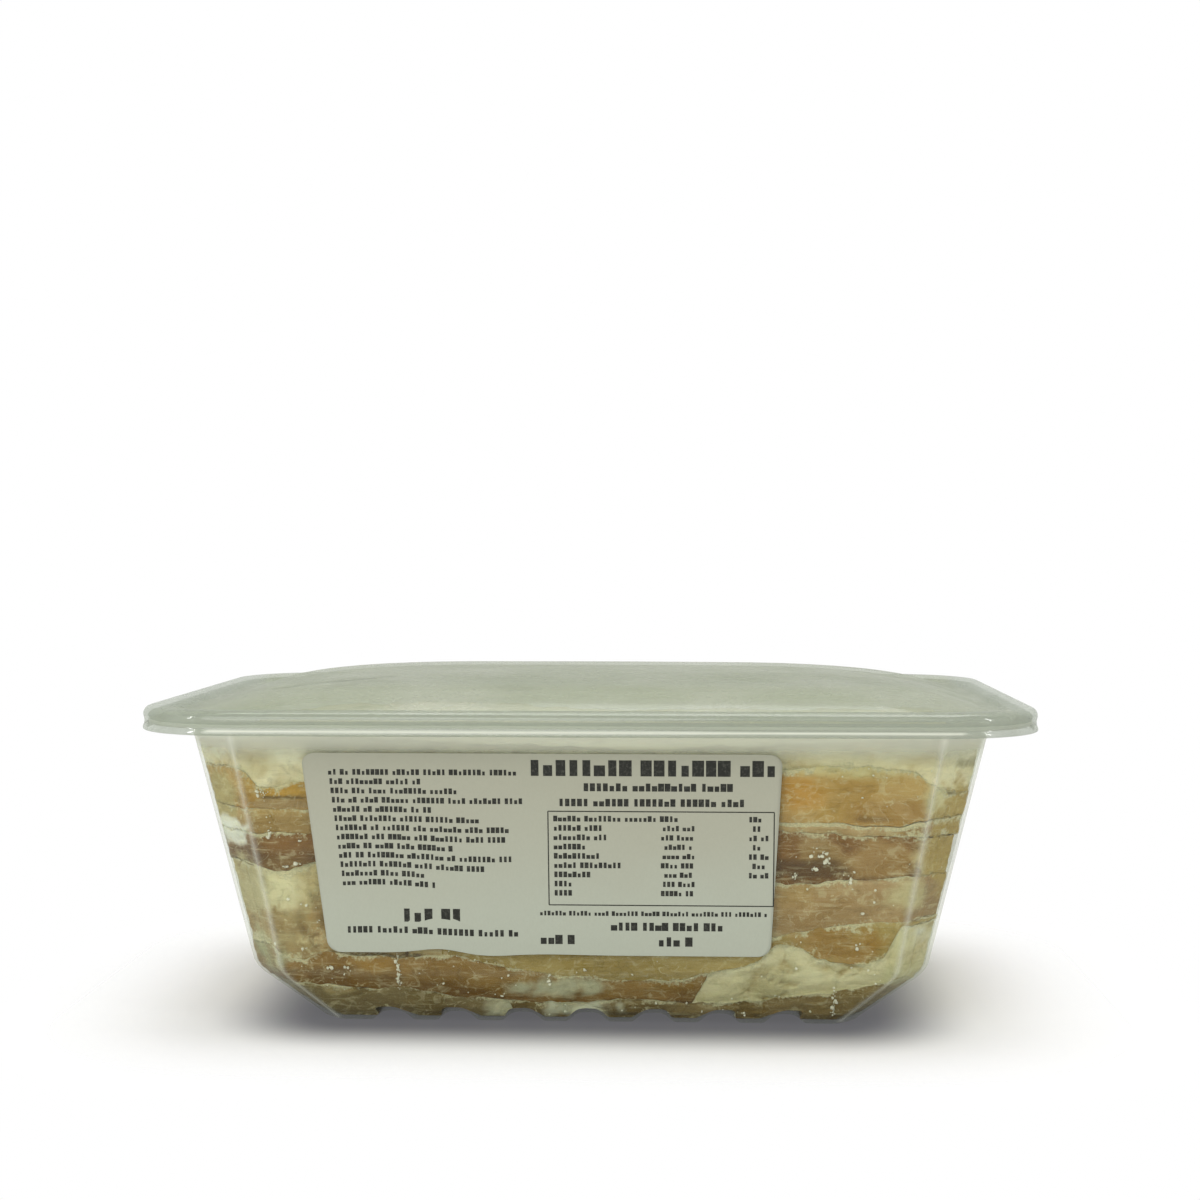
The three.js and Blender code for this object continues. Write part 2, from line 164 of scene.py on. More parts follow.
# The fillets from the base up.
FILLETS = {
    "fillet_01": Fillet("floor", "first", (-1.0, -0.175), (0.0, 0.16), "84724a", "6b5a34", 0.3, 0.4),
    "fillet_02": Fillet("floor", "first", (-0.195, 1.0), (0.16, 0.0), "8a7446", "6e5b34", 0.3, 0.5),
    "fillet_03": Fillet("first", "second", (-1.0, 0.265), (0.0, -0.2), "927036", "735324", 0.22, 0.3),
    "fillet_04": Fillet("first", "second", (0.245, 1.0), (-0.2, 0.0), "dad2ac", "c6bc90", 0.5, 1.2),
    "fillet_05": Fillet("second", "fourth", (-1.0, -0.335), (0.0, 0.14), "c8b888", "a08654", 0.8, 2.4),
    "fillet_06": Fillet("second", "third", (-0.355, 1.0), (0.14, 0.0), "b09a5c", "98803f", 0.5, 0.2),
    "fillet_07": Fillet("third", "fourth", (-0.355, 1.0), (0.14, 0.0), "b6986a", "9b7d4e", 0.45, 0.35),
    "fillet_08": Fillet("fourth", "fifth", (-1.0, 1.0), (0.0, 0.02), "855c25", "6b4816", 0.3, 0.3),
    "fillet_09": Fillet("fifth", "sixth", (-1.0, -0.095), (0.0, -0.18), "b89a60", "9c7e48", 0.4, 0.15),
    "fillet_10": Fillet("fifth", "sixth", (-0.115, 1.0), (-0.18, 0.0), "c0a372", "a68a58", 0.75, 0.35),
    "fillet_11": Fillet("sixth", "seventh", (-1.0, 1.0), (0.0, 0.0), "c2a05c", "ae8846", 0.4, 0.25),
    "fillet_12": Fillet("seventh", "top", (-1.0, 0.13), (0.0, 0.22), "f4ecce", "e0d5ac", 0.75, 2.4),
    "fillet_13": Fillet(
        "seventh", "top", (0.11, 1.0), (0.22, 0.0), "f2eac8", "e6dab0", 0.7, 1.1, (-1.0, 0.99)),
}
FILLET_NUMBERS = {name: number for number, name in enumerate(FILLETS)}
CRUST_COLOUR = "dcd2a8"

# Soft-edged patches on the flesh, mostly its own stain and colour, and a few dark strips just above
# a seam that are painted shade: centre, half sizes, colour, strength and softness of the edge.
# Those of the corners lie over all the fillets.
STAINS_AND_SEAM_SHADE = {
    "fillet_11": (
        (50, -60, 59.5, 7, 15, 4.2, "c48f35", 0.85, 0.5), (68, -60, 66.0, 24, 12, 2.6, "ddd3a0", 0.85, 0.5),
        # 7f5f2c: a thin dark strip just above the seam below, painted shade in the seam.
        (73, -60, 54.5, 9, 12, 3, "a98347", 0.7, 0.4), (70, -60, 52.6, 5, 8, 0.8, "7f5f2c", 0.7, 0.3),
        (86, -58, 57, 3.5, 12, 7, "d8cfa0", 0.9, 0.4), (-75, -60, 55.6, 8, 10, 1.5, "a98e62", 0.9, 0.25),
        (-73, -60, 59.4, 6, 10, 2, "c89d45", 0.8, 0.4),
        (-73.5, -60, 57.3, 5.5, 10, 0.45, "6a5020", 0.95, 0.3)),
    "fillet_08": (
        # 5c4018: a dark strip along the lowest part of the fillet, painted shade above the seam below.
        (57, -60, 44, 6, 10, 4.3, "a88c5c", 0.75, 0.15), (54, -60, 39.8, 9.5, 10, 2.8, "5c4018", 0.9, 0.2),
        (72, -60, 42.5, 8, 10, 5, "ad8a50", 0.7, 0.3), (83, -58, 43, 3.5, 10, 6, "cdbb88", 0.85, 0.4),
        # 7a5a28: the same painted shade above the seam at the left end.
        (-73, -60, 40.7, 8, 10, 1.6, "7a5a28", 0.85, 0.3)),
    "fillet_07": (
        (79, -60, 34, 6, 12, 4, "ccc294", 0.75, 0.5), (51, -60, 34, 6, 10, 3.5, "b0925a", 0.7, 0.5)),
    "fillet_06": (
        (60, -60, 21, 14, 12, 6.5, "9f7b3c", 0.9, 0.25), (70, -60, 22, 4, 8, 4, "a07828", 0.6, 0.4)),
    "fillet_04": (
        (34, -60, 11, 4, 8, 1.6, "8f7a42", 0.7, 0.3), (58, -60, 14, 9, 10, 2.5, "dcd6ac", 0.7, 0.5),
        (78, -60, 21, 5, 12, 6, "dcd7aa", 0.8, 0.4)),
    "fillet_03": (
        (-52, -60, 14.5, 11, 10, 2.4, "a27a30", 0.85, 0.4), (-8, -58, 9, 13, 12, 3, "c6c6a8", 0.8, 0.3)),
    "fillet_02": ((-2, -56, 4, 11, 12, 5, "d8d8be", 0.9, 0.3), (56, -58, 5, 7, 10, 3, "8a7038", 0.7, 0.4)),
    "fillet_01": (
        (-18, -56, 3, 10, 12, 4, "d6d4b4", 0.85, 0.3), (-62, -56, 8.5, 5, 10, 2.6, "b59f6a", 0.6, 0.3)),
    "fillet_05": (
        (-77, -60, 33, 7, 10, 6.5, "e2dab0", 0.85, 0.4), (-65, -60, 25, 4.5, 10, 7, "b5925a", 0.8, 0.4)),
    "fillet_12": ((-79, -60, 66, 4, 8, 4, "c0b07c", 0.5, 0.5),),
    "corners": (
        (90, -54, 44, 7.5, 9, 17.5, "b59c58", 0.95, 0.2), (88, -55, 22.0, 9, 9, 4.6, "f6f6ec", 0.9, 0.25),
        (84, -54, 13, 9, 9, 5, "c8c498", 0.7, 0.3), (93, -54, 66, 4, 9, 1.2, "8a8058", 0.7, 0.3),
        (-90, -54, 57, 6, 9, 6.5, "b3a46a", 0.85, 0.2), (-89, -54, 47.6, 6, 9, 4, "f0f0e4", 0.95, 0.2),
        (-86, -54, 33, 7, 9, 9, "b0a67c", 0.8, 0.3), (-83, -54, 16, 7, 9, 6, "acae8a", 0.8, 0.3)),
}

# What is added to a seam's or a fillet's number, so that each kind of noise differs from the rest.
SEAM_CRAGS, SEAM_GAPS = 40, 70
ROUNDING_SEED, RIDGE_SEED, FINE_RIDGE_SEED = 60, 80, 100
MOUND_SEED, CLEFT_SEED, CLEFT_PATCH_SEED = 160, 170, 190
SHADE_SEED, CRUST_PATCH_SEED, CRUST_EDGE_SEED, GRAIN_PATCH_SEED = 200, 240, 260, 130
STAIN_AND_SHADE_SEED = 301
LID_WARP_SEED, PAPER_SEED, FOOT_SEED, PRINT_SEED = 3, 8, 5, 11

# ---- settings ----


def length(name, description, millimetres, low=0.0):
    """A length property, given in millimetres and kept in metres."""
    return FloatProperty(
        name=name,
        description=description,
        default=millimetres * MM,
        min=low * MM,
        subtype="DISTANCE",
        unit="LENGTH",
        precision=5,
    )


def colour(name, description, text):
    """A colour property, given as the six digits of its screen colour."""
    return FloatVectorProperty(
        name=name,
        description=description,
        default=paint(text)[:3],
        size=3,
        min=0.0,
        max=1.0,
        subtype="COLOR",
    )


def paint(text):
    """The linear colour of six hexadecimal screen digits."""
    channels = [int(text[k:k + 2], 16) / 255 for k in (0, 2, 4)]
    return (*[c / 12.92 if c <= 0.04045 else ((c + 0.055) / 1.055) ** 2.4 for c in channels], 1.0)


class TubSettings(bpy.types.PropertyGroup):
    """The clear tub."""

    groove_count: IntProperty(
        name="Grooves", description="Grooves across the base", default=7, min=1, max=20)
    groove_pitch: length("Groove pitch", "Spacing of the base's grooves", 16.26)
    groove_height: length("Groove height", "How far the base rises in a groove", 2.5)
    groove_width: length("Groove width", "Width of a groove at the feet", 11.0)
    haze: FloatProperty(
        name="Haze", description="How much one face of the wall hides", default=0.01, min=0.0, max=1.0,
        subtype="FACTOR")
    tint: colour("Tint", "Colour of the hazy plastic", "c3c8b4")


class LidSettings(bpy.types.PropertyGroup):
    """The cushioned lid."""

    dent: length("Dents", "Depth of the creases pressed into the cushion", 0.5)
    warp: length("Warp", "How far the cushion is out of true", 0.25)
    cover: FloatProperty(
        name="Cover", description="How much one face of the lid hides", default=0.5, min=0.0, max=1.0,
        subtype="FACTOR")
    tint: colour("Tint", "Colour of the lid's plastic", "9aa08a")


class LabelSettings(bpy.types.PropertyGroup):
    """The paper label and its print."""

    wrinkle: length("Wrinkles", "How far the paper lifts from the wall", 0.18)
    mark_height: length("Mark thickness", "Thickness of the printed marks", 0.02)
    paper: colour("Paper", "Colour of the paper", "a9a996")
    ink: colour("Ink", "Colour of the print", "24251f")


class FishSettings(bpy.types.PropertyGroup):
    """The stacked fillets."""

    step: length("Step", "Spacing of the points round a fillet", 0.7, low=0.5)
    rounding: length("Rounding", "Rounding of a fillet's upper and lower edge", 0.28)
    grain: length("Fibres", "Height of the ridges along the cut flesh", 0.42)
    crust: colour("Crust", "Colour of the salt crust along the edges", CRUST_COLOUR)


class SaltSettings(bpy.types.PropertyGroup):
    """Salt on the fish and on the wall."""

    seed: IntProperty(name="Seed", description="Seed of the grains' places", default=4, min=0)
    smallest: length("Smallest", "Radius of the finest grain", 0.13)
    largest: length("Largest", "Radius of the coarsest grain", 0.5)
    density: FloatProperty(
        name="Density", description="Grains on a square metre of a salty place", default=1000000.0, min=0.0)
    tint: colour("Tint", "Colour of the grains", "dedcc6")


class StageSettings(bpy.types.PropertyGroup):
    """The floor, the lights and the camera."""

    floor: colour("Floor", "Colour of the floor", "f7f7f6")
    sky: FloatProperty(name="Sky", description="Strength of the surrounding light", default=0.76, min=0.0)
    lamp: FloatProperty(name="Lamp", description="Power of the top lamp in watts", default=3.9, min=0.0)
    focal_length: FloatProperty(
        name="Focal length", description="The lens on a 36 mm sensor", default=62.7, min=10.0,
        subtype="DISTANCE_CAMERA")


# ---- noise and outlines ----


def lattice(cell, seed):
    """A fixed number from -1 to 1 for each whole-numbered cell."""
    mask = 0xFFFFFFFF
    mixed = (cell[:, 0] * 73856093) ^ (cell[:, 1] * 19349663) ^ (cell[:, 2] * 83492791)
    mixed = (mixed ^ (seed * 40503 + 977)) & mask
    mixed = ((mixed ^ (mixed >> 15)) * 2246822519) & mask
    mixed = ((mixed ^ (mixed >> 13)) * 3266489917) & mask
    return ((mixed ^ (mixed >> 16)) & 0xFFFF) / 32767.5 - 1


def noise(points, size, seed=0):
    """Smooth noise from -1 to 1 whose lumps have the given size, in millimetres."""
    place = np.asarray(points, float) / np.asarray(size, float)
    cell = np.floor(place).astype(np.int64)
    part = place - cell
    part = part * part * (3 - 2 * part)
    total = np.zeros(len(place))
    for corner in itertools.product((0, 1), repeat=3):
        weight = np.prod(np.where(corner, part, 1 - part), axis=1)
        total += weight * lattice(cell + np.array(corner), seed)
    return total


def level_points(x, y):
    """Places in plan as rows of three numbers."""
    return np.column_stack([np.ravel(x), np.ravel(y), np.zeros(np.size(x))])


TURN = np.array(((0.8, 0.36, -0.48), (-0.6, 0.48, -0.64), (0.0, 0.8, 0.6)))


def crumpled(points, size, seed=0):
    """Noise whose lumps are turned, bent and broken into smaller ones, so that no grid shows."""
    turned = (np.asarray(points, float) / np.asarray(size, float)) @ TURN.T
    bent = [noise(turned + 7.3 * k, 1.7, seed + 11 + k) for k in range(3)]
    turned = turned + 0.6 * np.column_stack(bent)
    return sum(share * noise(turned, cell, seed + k)
               for k, (share, cell) in enumerate(((0.66, 1.0), (0.3, 0.46), (0.16, 0.21))))


def smooth(value, low, high):
    """A soft step from 0 at low to 1 at high."""
    t = np.clip((np.asarray(value, float) - low) / (high - low), 0, 1)
    return t * t * (3 - 2 * t)


def section(z, inset=0.0):
    """Half length, half depth and clip of the tub's outline at each height, drawn in by an inset."""
    z = np.asarray(z, float)
    spread = (-KNEE_BLEND, 0.0, KNEE_BLEND)
    sizes = [
        sum(np.interp(z + dz, SECTIONS[:, 0], SECTIONS[:, k]) for dz in spread) / 3 for k in (1, 2, 3)
    ]
    return sizes[0] - inset, sizes[1] - inset, sizes[2] - inset * (2 - math.sqrt(2))


def bend(a, b, c, count):
    """Points round a rounded edge: from a, towards b, to c."""
    points = []
    for k in range(count):
        t = k / (count - 1)
        points.append((1 - t) ** 2 * np.array(a) + 2 * t * (1 - t) * np.array(b) + t * t * np.array(c))
    return points


BEND_POINTS = 7
WALL_POINTS = 132                 # steps along the straight part of a long side
END_ROWS = 72                     # steps along an end
CORNER_POINTS = 2 * BEND_POINTS + 5


def clipped_front(z, inset=0.0):
    """The front half of the tub's outline at one height, from the left end wall to the right one."""
    half_length, half_depth, clip = (float(v) for v in section(z, inset))
    e = min(EDGE_ROUND, clip * 0.35)
    slope = e / math.sqrt(2)
    first = (half_length, half_depth - clip)
    last = (half_length - clip, half_depth)
    start = bend((first[0], first[1] - e), first, (first[0] - slope, first[1] + slope), BEND_POINTS)
    finish = bend((last[0] + slope, last[1] - slope), last, (last[0] - e, last[1]), BEND_POINTS)
    flat = [start[-1] + (finish[0] - start[-1]) * k / 6 for k in range(1, 6)]
    return front_from_corner([*start, *flat, *finish])


def rounded_front(half_length, half_depth, radius):
    """The front half of a rounded rectangle, with as many points as the tub's outline."""
    corner = []
    for k in range(CORNER_POINTS):
        angle = k / (CORNER_POINTS - 1) * TAU / 4
        corner.append(np.array((
            half_length - radius + radius * math.cos(angle),
            half_depth - radius + radius * math.sin(angle),
        )))
    return front_from_corner(corner)


def front_from_corner(corner):
    """Mirrors a corner's points to the front left and right and joins them by the long wall."""
    corner = np.array(corner)
    left = corner * (-1, -1)
    right = corner[::-1] * (1, -1)
    share = np.linspace(0, 1, WALL_POINTS + 1)[1:-1, None]
    return np.vstack([left, left[-1] + (right[0] - left[-1]) * share, right])


def closed_ring(front, z):
    """A level ring from its front half: along the front, up the right end and back again."""
    share = np.linspace(-1, 1, END_ROWS + 1)[1:-1]
    right = np.column_stack([np.full(len(share), front[-1][0]), share * abs(front[-1][1])])
    left = np.column_stack([np.full(len(share), front[0][0]), share[::-1] * abs(front[0][1])])
    plan = np.vstack([front, right, front[::-1] * (1, -1), left])
    return np.column_stack([plan, np.full(len(plan), float(z))])


def quads(grid, by_rows=False):
    """The four corners of every cell in a grid of point numbers, in one turning direction or the other."""
    corners = [grid[:-1, :-1], grid[1:, :-1], grid[1:, 1:], grid[:-1, 1:]]
    if by_rows:
        corners[1], corners[3] = corners[3], corners[1]
    return np.stack(corners, axis=-1).reshape(-1, 4)


def band(low, high, size):
    """The faces between two rings of a size that start at two point numbers."""
    index = np.arange(size)
    following = (index + 1) % size
    return np.column_stack([low + index, low + following, high + following, high + index])


class Shell:
    """Points and faces of a shell, made from rings and closed by a level patch in the first and the last."""

    def __init__(self, rings):
        self.points = []
        self.faces = []
        self.count = 0
        starts = [self.add(ring) for ring in rings]
        self.faces += [band(low, high, len(rings[0])) for low, high in zip(starts, starts[1:])]
        self.patch(starts[0], rings[0], downward=True)
        self.patch(starts[-1], rings[-1], downward=False)

    def add(self, points):
        start = self.count
        self.points.append(np.asarray(points, float))
        self.count += len(points)
        return start

    def patch(self, start, ring, downward):
        """Closes a ring with a grid at the ring's mean height."""
        rows = END_ROWS
        columns = len(ring) // 2 - rows + 1
        grid = np.zeros((columns, rows + 1), np.int64)
        grid[:, 0] = start + np.arange(columns)
        grid[-1, 1:rows] = start + columns + np.arange(rows - 1)
        grid[:, rows] = start + columns + rows - 1 + np.arange(columns)[::-1]
        grid[0, 1:rows] = start + 2 * columns + rows - 1 + np.arange(rows - 1)[::-1]
        front = ring[:columns]
        share = np.linspace(-1, 1, rows + 1)[1:-1]
        x = np.repeat(front[1:-1, 0], rows - 1)
        y = (np.abs(front[1:-1, 1])[:, None] * share[None, :]).ravel()
        inner = self.add(np.column_stack([x, y, np.full(len(x), ring[:, 2].mean())]))
        grid[1:-1, 1:rows] = inner + np.arange((columns - 2) * (rows - 1)).reshape(columns - 2, rows - 1)
        self.faces.append(quads(grid)[:, ::-1] if downward else quads(grid))

    def mesh(self, name, attributes=None):
        return make_mesh(name, np.vstack(self.points), np.vstack(self.faces), attributes)


def make_mesh(name, points, faces, attributes=None):
    """A smooth mesh from millimetre points, four-cornered faces and values for its points."""
    mesh = bpy.data.meshes.new(name)
    mesh.vertices.add(len(points))
    mesh.vertices.foreach_set("co", (np.asarray(points) * MM).astype(np.float32).ravel())
    mesh.loops.add(faces.size)
    mesh.loops.foreach_set("vertex_index", faces.astype(np.int32).ravel())
    mesh.polygons.add(len(faces))
    mesh.polygons.foreach_set("loop_start", np.arange(0, faces.size, faces.shape[1], dtype=np.int32))
    mesh.update(calc_edges=True)
    mesh.polygons.foreach_set("use_smooth", np.ones(len(faces), bool))
    for key, values in (attributes or {}).items():
        values = np.asarray(values, np.float32)
        kind, field = ("FLOAT", "value") if values.ndim == 1 else ("FLOAT_COLOR", "color")
        layer = mesh.attributes.new(key, kind, "POINT")
        layer.data.foreach_set(field, values.ravel())
    mesh.validate()
    mesh.update()
    return mesh


# ---- node trees ----


class Graph:
    """Adds nodes to a shader or geometry tree and links them."""

    def __init__(self, tree):
        self.tree = tree

    def feed(self, socket, value):
        if isinstance(value, bpy.types.NodeSocket):
            self.tree.links.new(value, socket)
        elif value is not None:
            socket.default_value = value

    def add(self, kind, inputs=None, **settings):
        node = self.tree.nodes.new(kind)
        for key, value in settings.items():
            setattr(node, key, value)
        for key, value in (inputs or {}).items():
            self.feed(node.inputs[key], value)
        return node

    def math(self, operation, a, b=None, c=None, clamp=False):
        node = self.tree.nodes.new("ShaderNodeMath")
        node.operation = operation
        node.use_clamp = clamp
        for socket, value in zip(node.inputs, (a, b, c)):
            self.feed(socket, value)
        return node.outputs[0]

    def times(self, a, b, plus=None, clamp=False):
        """A product of two values, with a third one added to it where there is one."""
        return self.math("MULTIPLY" if plus is None else "MULTIPLY_ADD", a, b, plus, clamp)

    def ramp(self, value, low, high, out_low=0.0, out_high=1.0):
        """A soft step of a value between two limits."""
        node = self.add(
            "ShaderNodeMapRange",
            {"Value": value, "From Min": low, "From Max": high, "To Min": out_low, "To Max": out_high},
            interpolation_type="SMOOTHSTEP",
        )
        return node.outputs["Result"]

    def mix(self, share, a, b):
        """A mix of two colours."""
        node = self.tree.nodes.new("ShaderNodeMix")
        node.data_type = "RGBA"
        self.feed(node.inputs[0], share)
        self.feed(node.inputs[6], a)
        self.feed(node.inputs[7], b)
        return node.outputs[2]

    def place(self, scale=(1.0, 1.0, 1.0), shift=(0.0, 0.0, 0.0)):
        """Object coordinates in millimetres, stretched and shifted."""
        coordinates = self.add("ShaderNodeTexCoord").outputs["Object"]
        mapping = self.add("ShaderNodeMapping", {
            "Vector": coordinates,
            "Scale": tuple(s / MM for s in scale),
            "Location": shift,
        })
        return mapping.outputs["Vector"]

    def noise(self, place, size, detail=2.0, roughness=0.5, distortion=0.0):
        """Noise from 0 to 1 with lumps of a size in the place's units."""
        node = self.add("ShaderNodeTexNoise", {
            "Vector": place, "Scale": 1 / size, "Detail": detail, "Roughness": roughness,
            "Distortion": distortion,
        })
        return node.outputs["Fac"]

    def attribute(self, name):
        return self.add("ShaderNodeAttribute", attribute_name=name).outputs["Fac"]

    def facing(self):
        """0 where a face is seen straight on and 1 at its outline."""
        return self.add("ShaderNodeLayerWeight", {"Blend": 0.5}).outputs["Facing"]

    def tuned(self, tone, saturation, value, hue=0.5):
        """A colour with its saturation, value and hue changed."""
        node = self.add("ShaderNodeHueSaturation", {
            "Hue": hue, "Saturation": saturation, "Value": value, "Color": tone,
        })
        return node.outputs["Color"]

    def over(self, share, under, upper):
        """A shader that covers another by a share."""
        return self.add("ShaderNodeMixShader", {0: share, 1: under.outputs[0], 2: upper.outputs[0]})

    def bump(self, height, strength, distance):
        node = self.add("ShaderNodeBump", {
            "Height": height, "Strength": strength, "Distance": distance * MM,
        })
        return node.outputs["Normal"]


def shader(name):
    """A new material with an empty tree, its graph and its output's surface socket."""
    material = bpy.data.materials.new(name)
    material.use_nodes = True
    material.node_tree.nodes.clear()
    graph = Graph(material.node_tree)
    output = graph.add("ShaderNodeOutputMaterial")
    return material, graph, output.inputs["Surface"]


def geometry_tree(name, inputs):
    """A geometry tree with named inputs. Returns it, its graph, its input node and the identifiers."""
    tree = bpy.data.node_groups.new(name, "GeometryNodeTree")
    tree.is_modifier = True
    tree.interface.new_socket("Geometry", in_out="INPUT", socket_type="NodeSocketGeometry")
    identifiers = {}
    for key, kind in inputs.items():
        socket = tree.interface.new_socket(key, in_out="INPUT", socket_type="NodeSocket" + kind)
        identifiers[key] = socket.identifier
    tree.interface.new_socket("Geometry", in_out="OUTPUT", socket_type="NodeSocketGeometry")
    graph = Graph(tree)
    return tree, graph, graph.add("NodeGroupInput"), identifiers


def close_tree(graph, geometry, material):
    """Ends a geometry tree with real meshes and their material."""
    real = graph.add("GeometryNodeRealizeInstances", {"Geometry": geometry})
    dressed = graph.add("GeometryNodeSetMaterial", {"Geometry": real.outputs[0], "Material": material})
    output = graph.add("NodeGroupOutput")
    graph.tree.links.new(dressed.outputs[0], output.inputs[0])


def grown(mesh, tree, identifiers, values):
    """The mesh that a geometry tree makes from a mesh, with values for the tree's named inputs."""
    carrier = bpy.data.objects.new("carrier", mesh)
    bpy.context.scene.collection.objects.link(carrier)
    modifier = carrier.modifiers.new("grow", "NODES")
    modifier.node_group = tree
    for key, value in values.items():
        modifier[identifiers[key]] = value
    carrier.update_tag()
    bpy.context.view_layer.update()
    evaluated = carrier.evaluated_get(bpy.context.evaluated_depsgraph_get())
    result = bpy.data.meshes.new_from_object(evaluated)
    bpy.data.objects.remove(carrier)
    if not len(result.polygons):
        raise RuntimeError(tree.name + " made nothing")
    return result


def put(name, mesh, material, node=None):
    """Places a finished mesh as a piece on the root body, in place of a node or as an extra."""
    mesh.name = name
    mesh.materials.clear()
    mesh.materials.append(material)
    piece = bpy.data.objects.new(name, mesh)
    bpy.context.scene.collection.objects.link(piece)
    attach(piece, "root")
    if node:
        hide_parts(node)
    return piece


# ---- tub ----

GROOVE_LEVEL = 1.5                # the height at which the grooves are measured along the tub
GROOVE_CREST = 1.9                # how flat a groove's crest is
# Heights of the rings that the outer and the inner wall share.
WALL_HEIGHTS = (4.5, 5.5, 6.5, 8, 10, 11.5, 12.2, 13, 13.8, 14.5, 17, 22, 30, 38, 46, 54, 62, 68, 71)


def groove_tree():
    """Lifts the base into grooves that run across the tub, and draws the walls out to match."""
    tree, graph, start, names = geometry_tree("Base grooves", {
        "Count": "Float", "Pitch": "Float", "Height": "Float", "Width": "Float", "Material": "Material",
    })
    position = graph.add("GeometryNodeInputPosition").outputs[0]
    axes = graph.add("ShaderNodeSeparateXYZ", {0: position})
    x, y, z = axes.outputs
    number = graph.math("ROUND", graph.math("DIVIDE", x, start.outputs["Pitch"]))
    nearest = graph.times(number, start.outputs["Pitch"])
    away = graph.math("ABSOLUTE", graph.math("SUBTRACT", x, nearest))
    share = graph.math("DIVIDE", away, graph.times(start.outputs["Width"], 0.5), clamp=True)
    wave = graph.math("COSINE", graph.times(graph.math("POWER", share, GROOVE_CREST), math.pi))
    crest = graph.times(wave, 0.5, 0.5)
    inside = graph.math(
        "LESS_THAN", graph.math("ABSOLUTE", number), graph.times(start.outputs["Count"], 0.5))
    fade = graph.ramp(z, 1.0 * MM, 6.5 * MM, 1.0, 0.0)
    lift = graph.times(graph.times(crest, inside),
                      graph.times(fade, start.outputs["Height"]))
    slope = (SECTIONS[1, 2] - SECTIONS[0, 2]) / (KNEE * SECTIONS[0, 2] * MM)
    outward = graph.times(graph.times(lift, y), slope)
    offset = graph.add("ShaderNodeCombineXYZ", {"Y": outward, "Z": lift})
    moved = graph.add("GeometryNodeSetPosition", {
        "Geometry": start.outputs["Geometry"], "Offset": offset.outputs[0],
    })
    close_tree(graph, moved.outputs[0], start.outputs["Material"])
    return tree, names


def tub_rings():
    """The tub's rings from the base's outer edge, up, over the flange and down to the inner base."""
    rings = []

    def wall(z, inset=0.0, nominal=None):
        rings.append(closed_ring(clipped_front(z, inset), z if nominal is None else nominal))

    def flange(inset, z):
        front = rounded_front(FLANGE_HALF_LENGTH - inset, FLANGE_HALF_DEPTH - inset, FLANGE_RADIUS - inset)
        rings.append(closed_ring(front, z))

    def between(share, z):
        rim = rounded_front(FLANGE_HALF_LENGTH, FLANGE_HALF_DEPTH, FLANGE_RADIUS)
        body = clipped_front(WALL_TOP)
        rings.append(closed_ring(body + (rim - body) * share, z))

    for z, inset in ((0.0, 1.9), (0.06, 1.3), (0.25, 0.75), (0.6, 0.3), (1.1, 0.05)):
        wall(z, inset)
    for z in (1.8, 2.6, 3.5, *WALL_HEIGHTS):
        wall(z)
    for z, inset in ((72.4, -0.05), (73.4, -0.2), (74.1, -0.55), (74.6, -1.1)):
        wall(z, inset)
    for share, z in ((0.2, 74.9), (0.45, 75.05), (0.75, FLANGE_BOTTOM), (0.93, FLANGE_BOTTOM)):
        between(share, z)
    for inset, z in ((0.25, 75.2), (0.0, 75.5), (0.0, 76.0), (0.1, 76.2), (0.3, FLANGE_TOP)):
        flange(inset, z)
    for share, z in ((0.9, FLANGE_TOP), (0.6, FLANGE_TOP), (0.35, FLANGE_TOP)):
        between(share, z)
    for z, inset in ((76.3, -0.6), (76.15, -0.1), (75.7, 0.25), (75.0, 0.5), (74.0, 0.7)):
        wall(min(z, 76.3), inset, z)
    for z in (73, *reversed(WALL_HEIGHTS), 3.6, 2.9):
        wall(z, WALL)
    for z, inset in ((2.2, 0.05), (1.6, 0.2), (1.2, 0.5), (0.95, 0.95), (WALL, 1.6)):
        wall(z, WALL + inset)
    return rings


def tub_mesh():
    """The tub's shell, with a value that says how near a fold of the plastic is."""
    shell = Shell(tub_rings())
    points = np.vstack(shell.points)
    half_length, half_depth, clip = section(points[:, 2])
    x, y = np.abs(points[:, 0]), np.abs(points[:, 1])
    to_long = np.hypot(x - (half_length - clip), y - half_depth)
    to_end = np.hypot(x - half_length, y - (half_depth - clip))
    # The fold value also marks where the plastic is painted whiter: partly thicker plastic, partly a painted
    # highlight.
    fold = np.exp(-(np.minimum(to_long, to_end) / 0.95) ** 2)
    knee = 0.08 * np.exp(-((points[:, 2] - KNEE) / 0.9) ** 2) * (x < half_length + 1)
    return shell.mesh("tub", {"fold": np.maximum(fold, knee)})


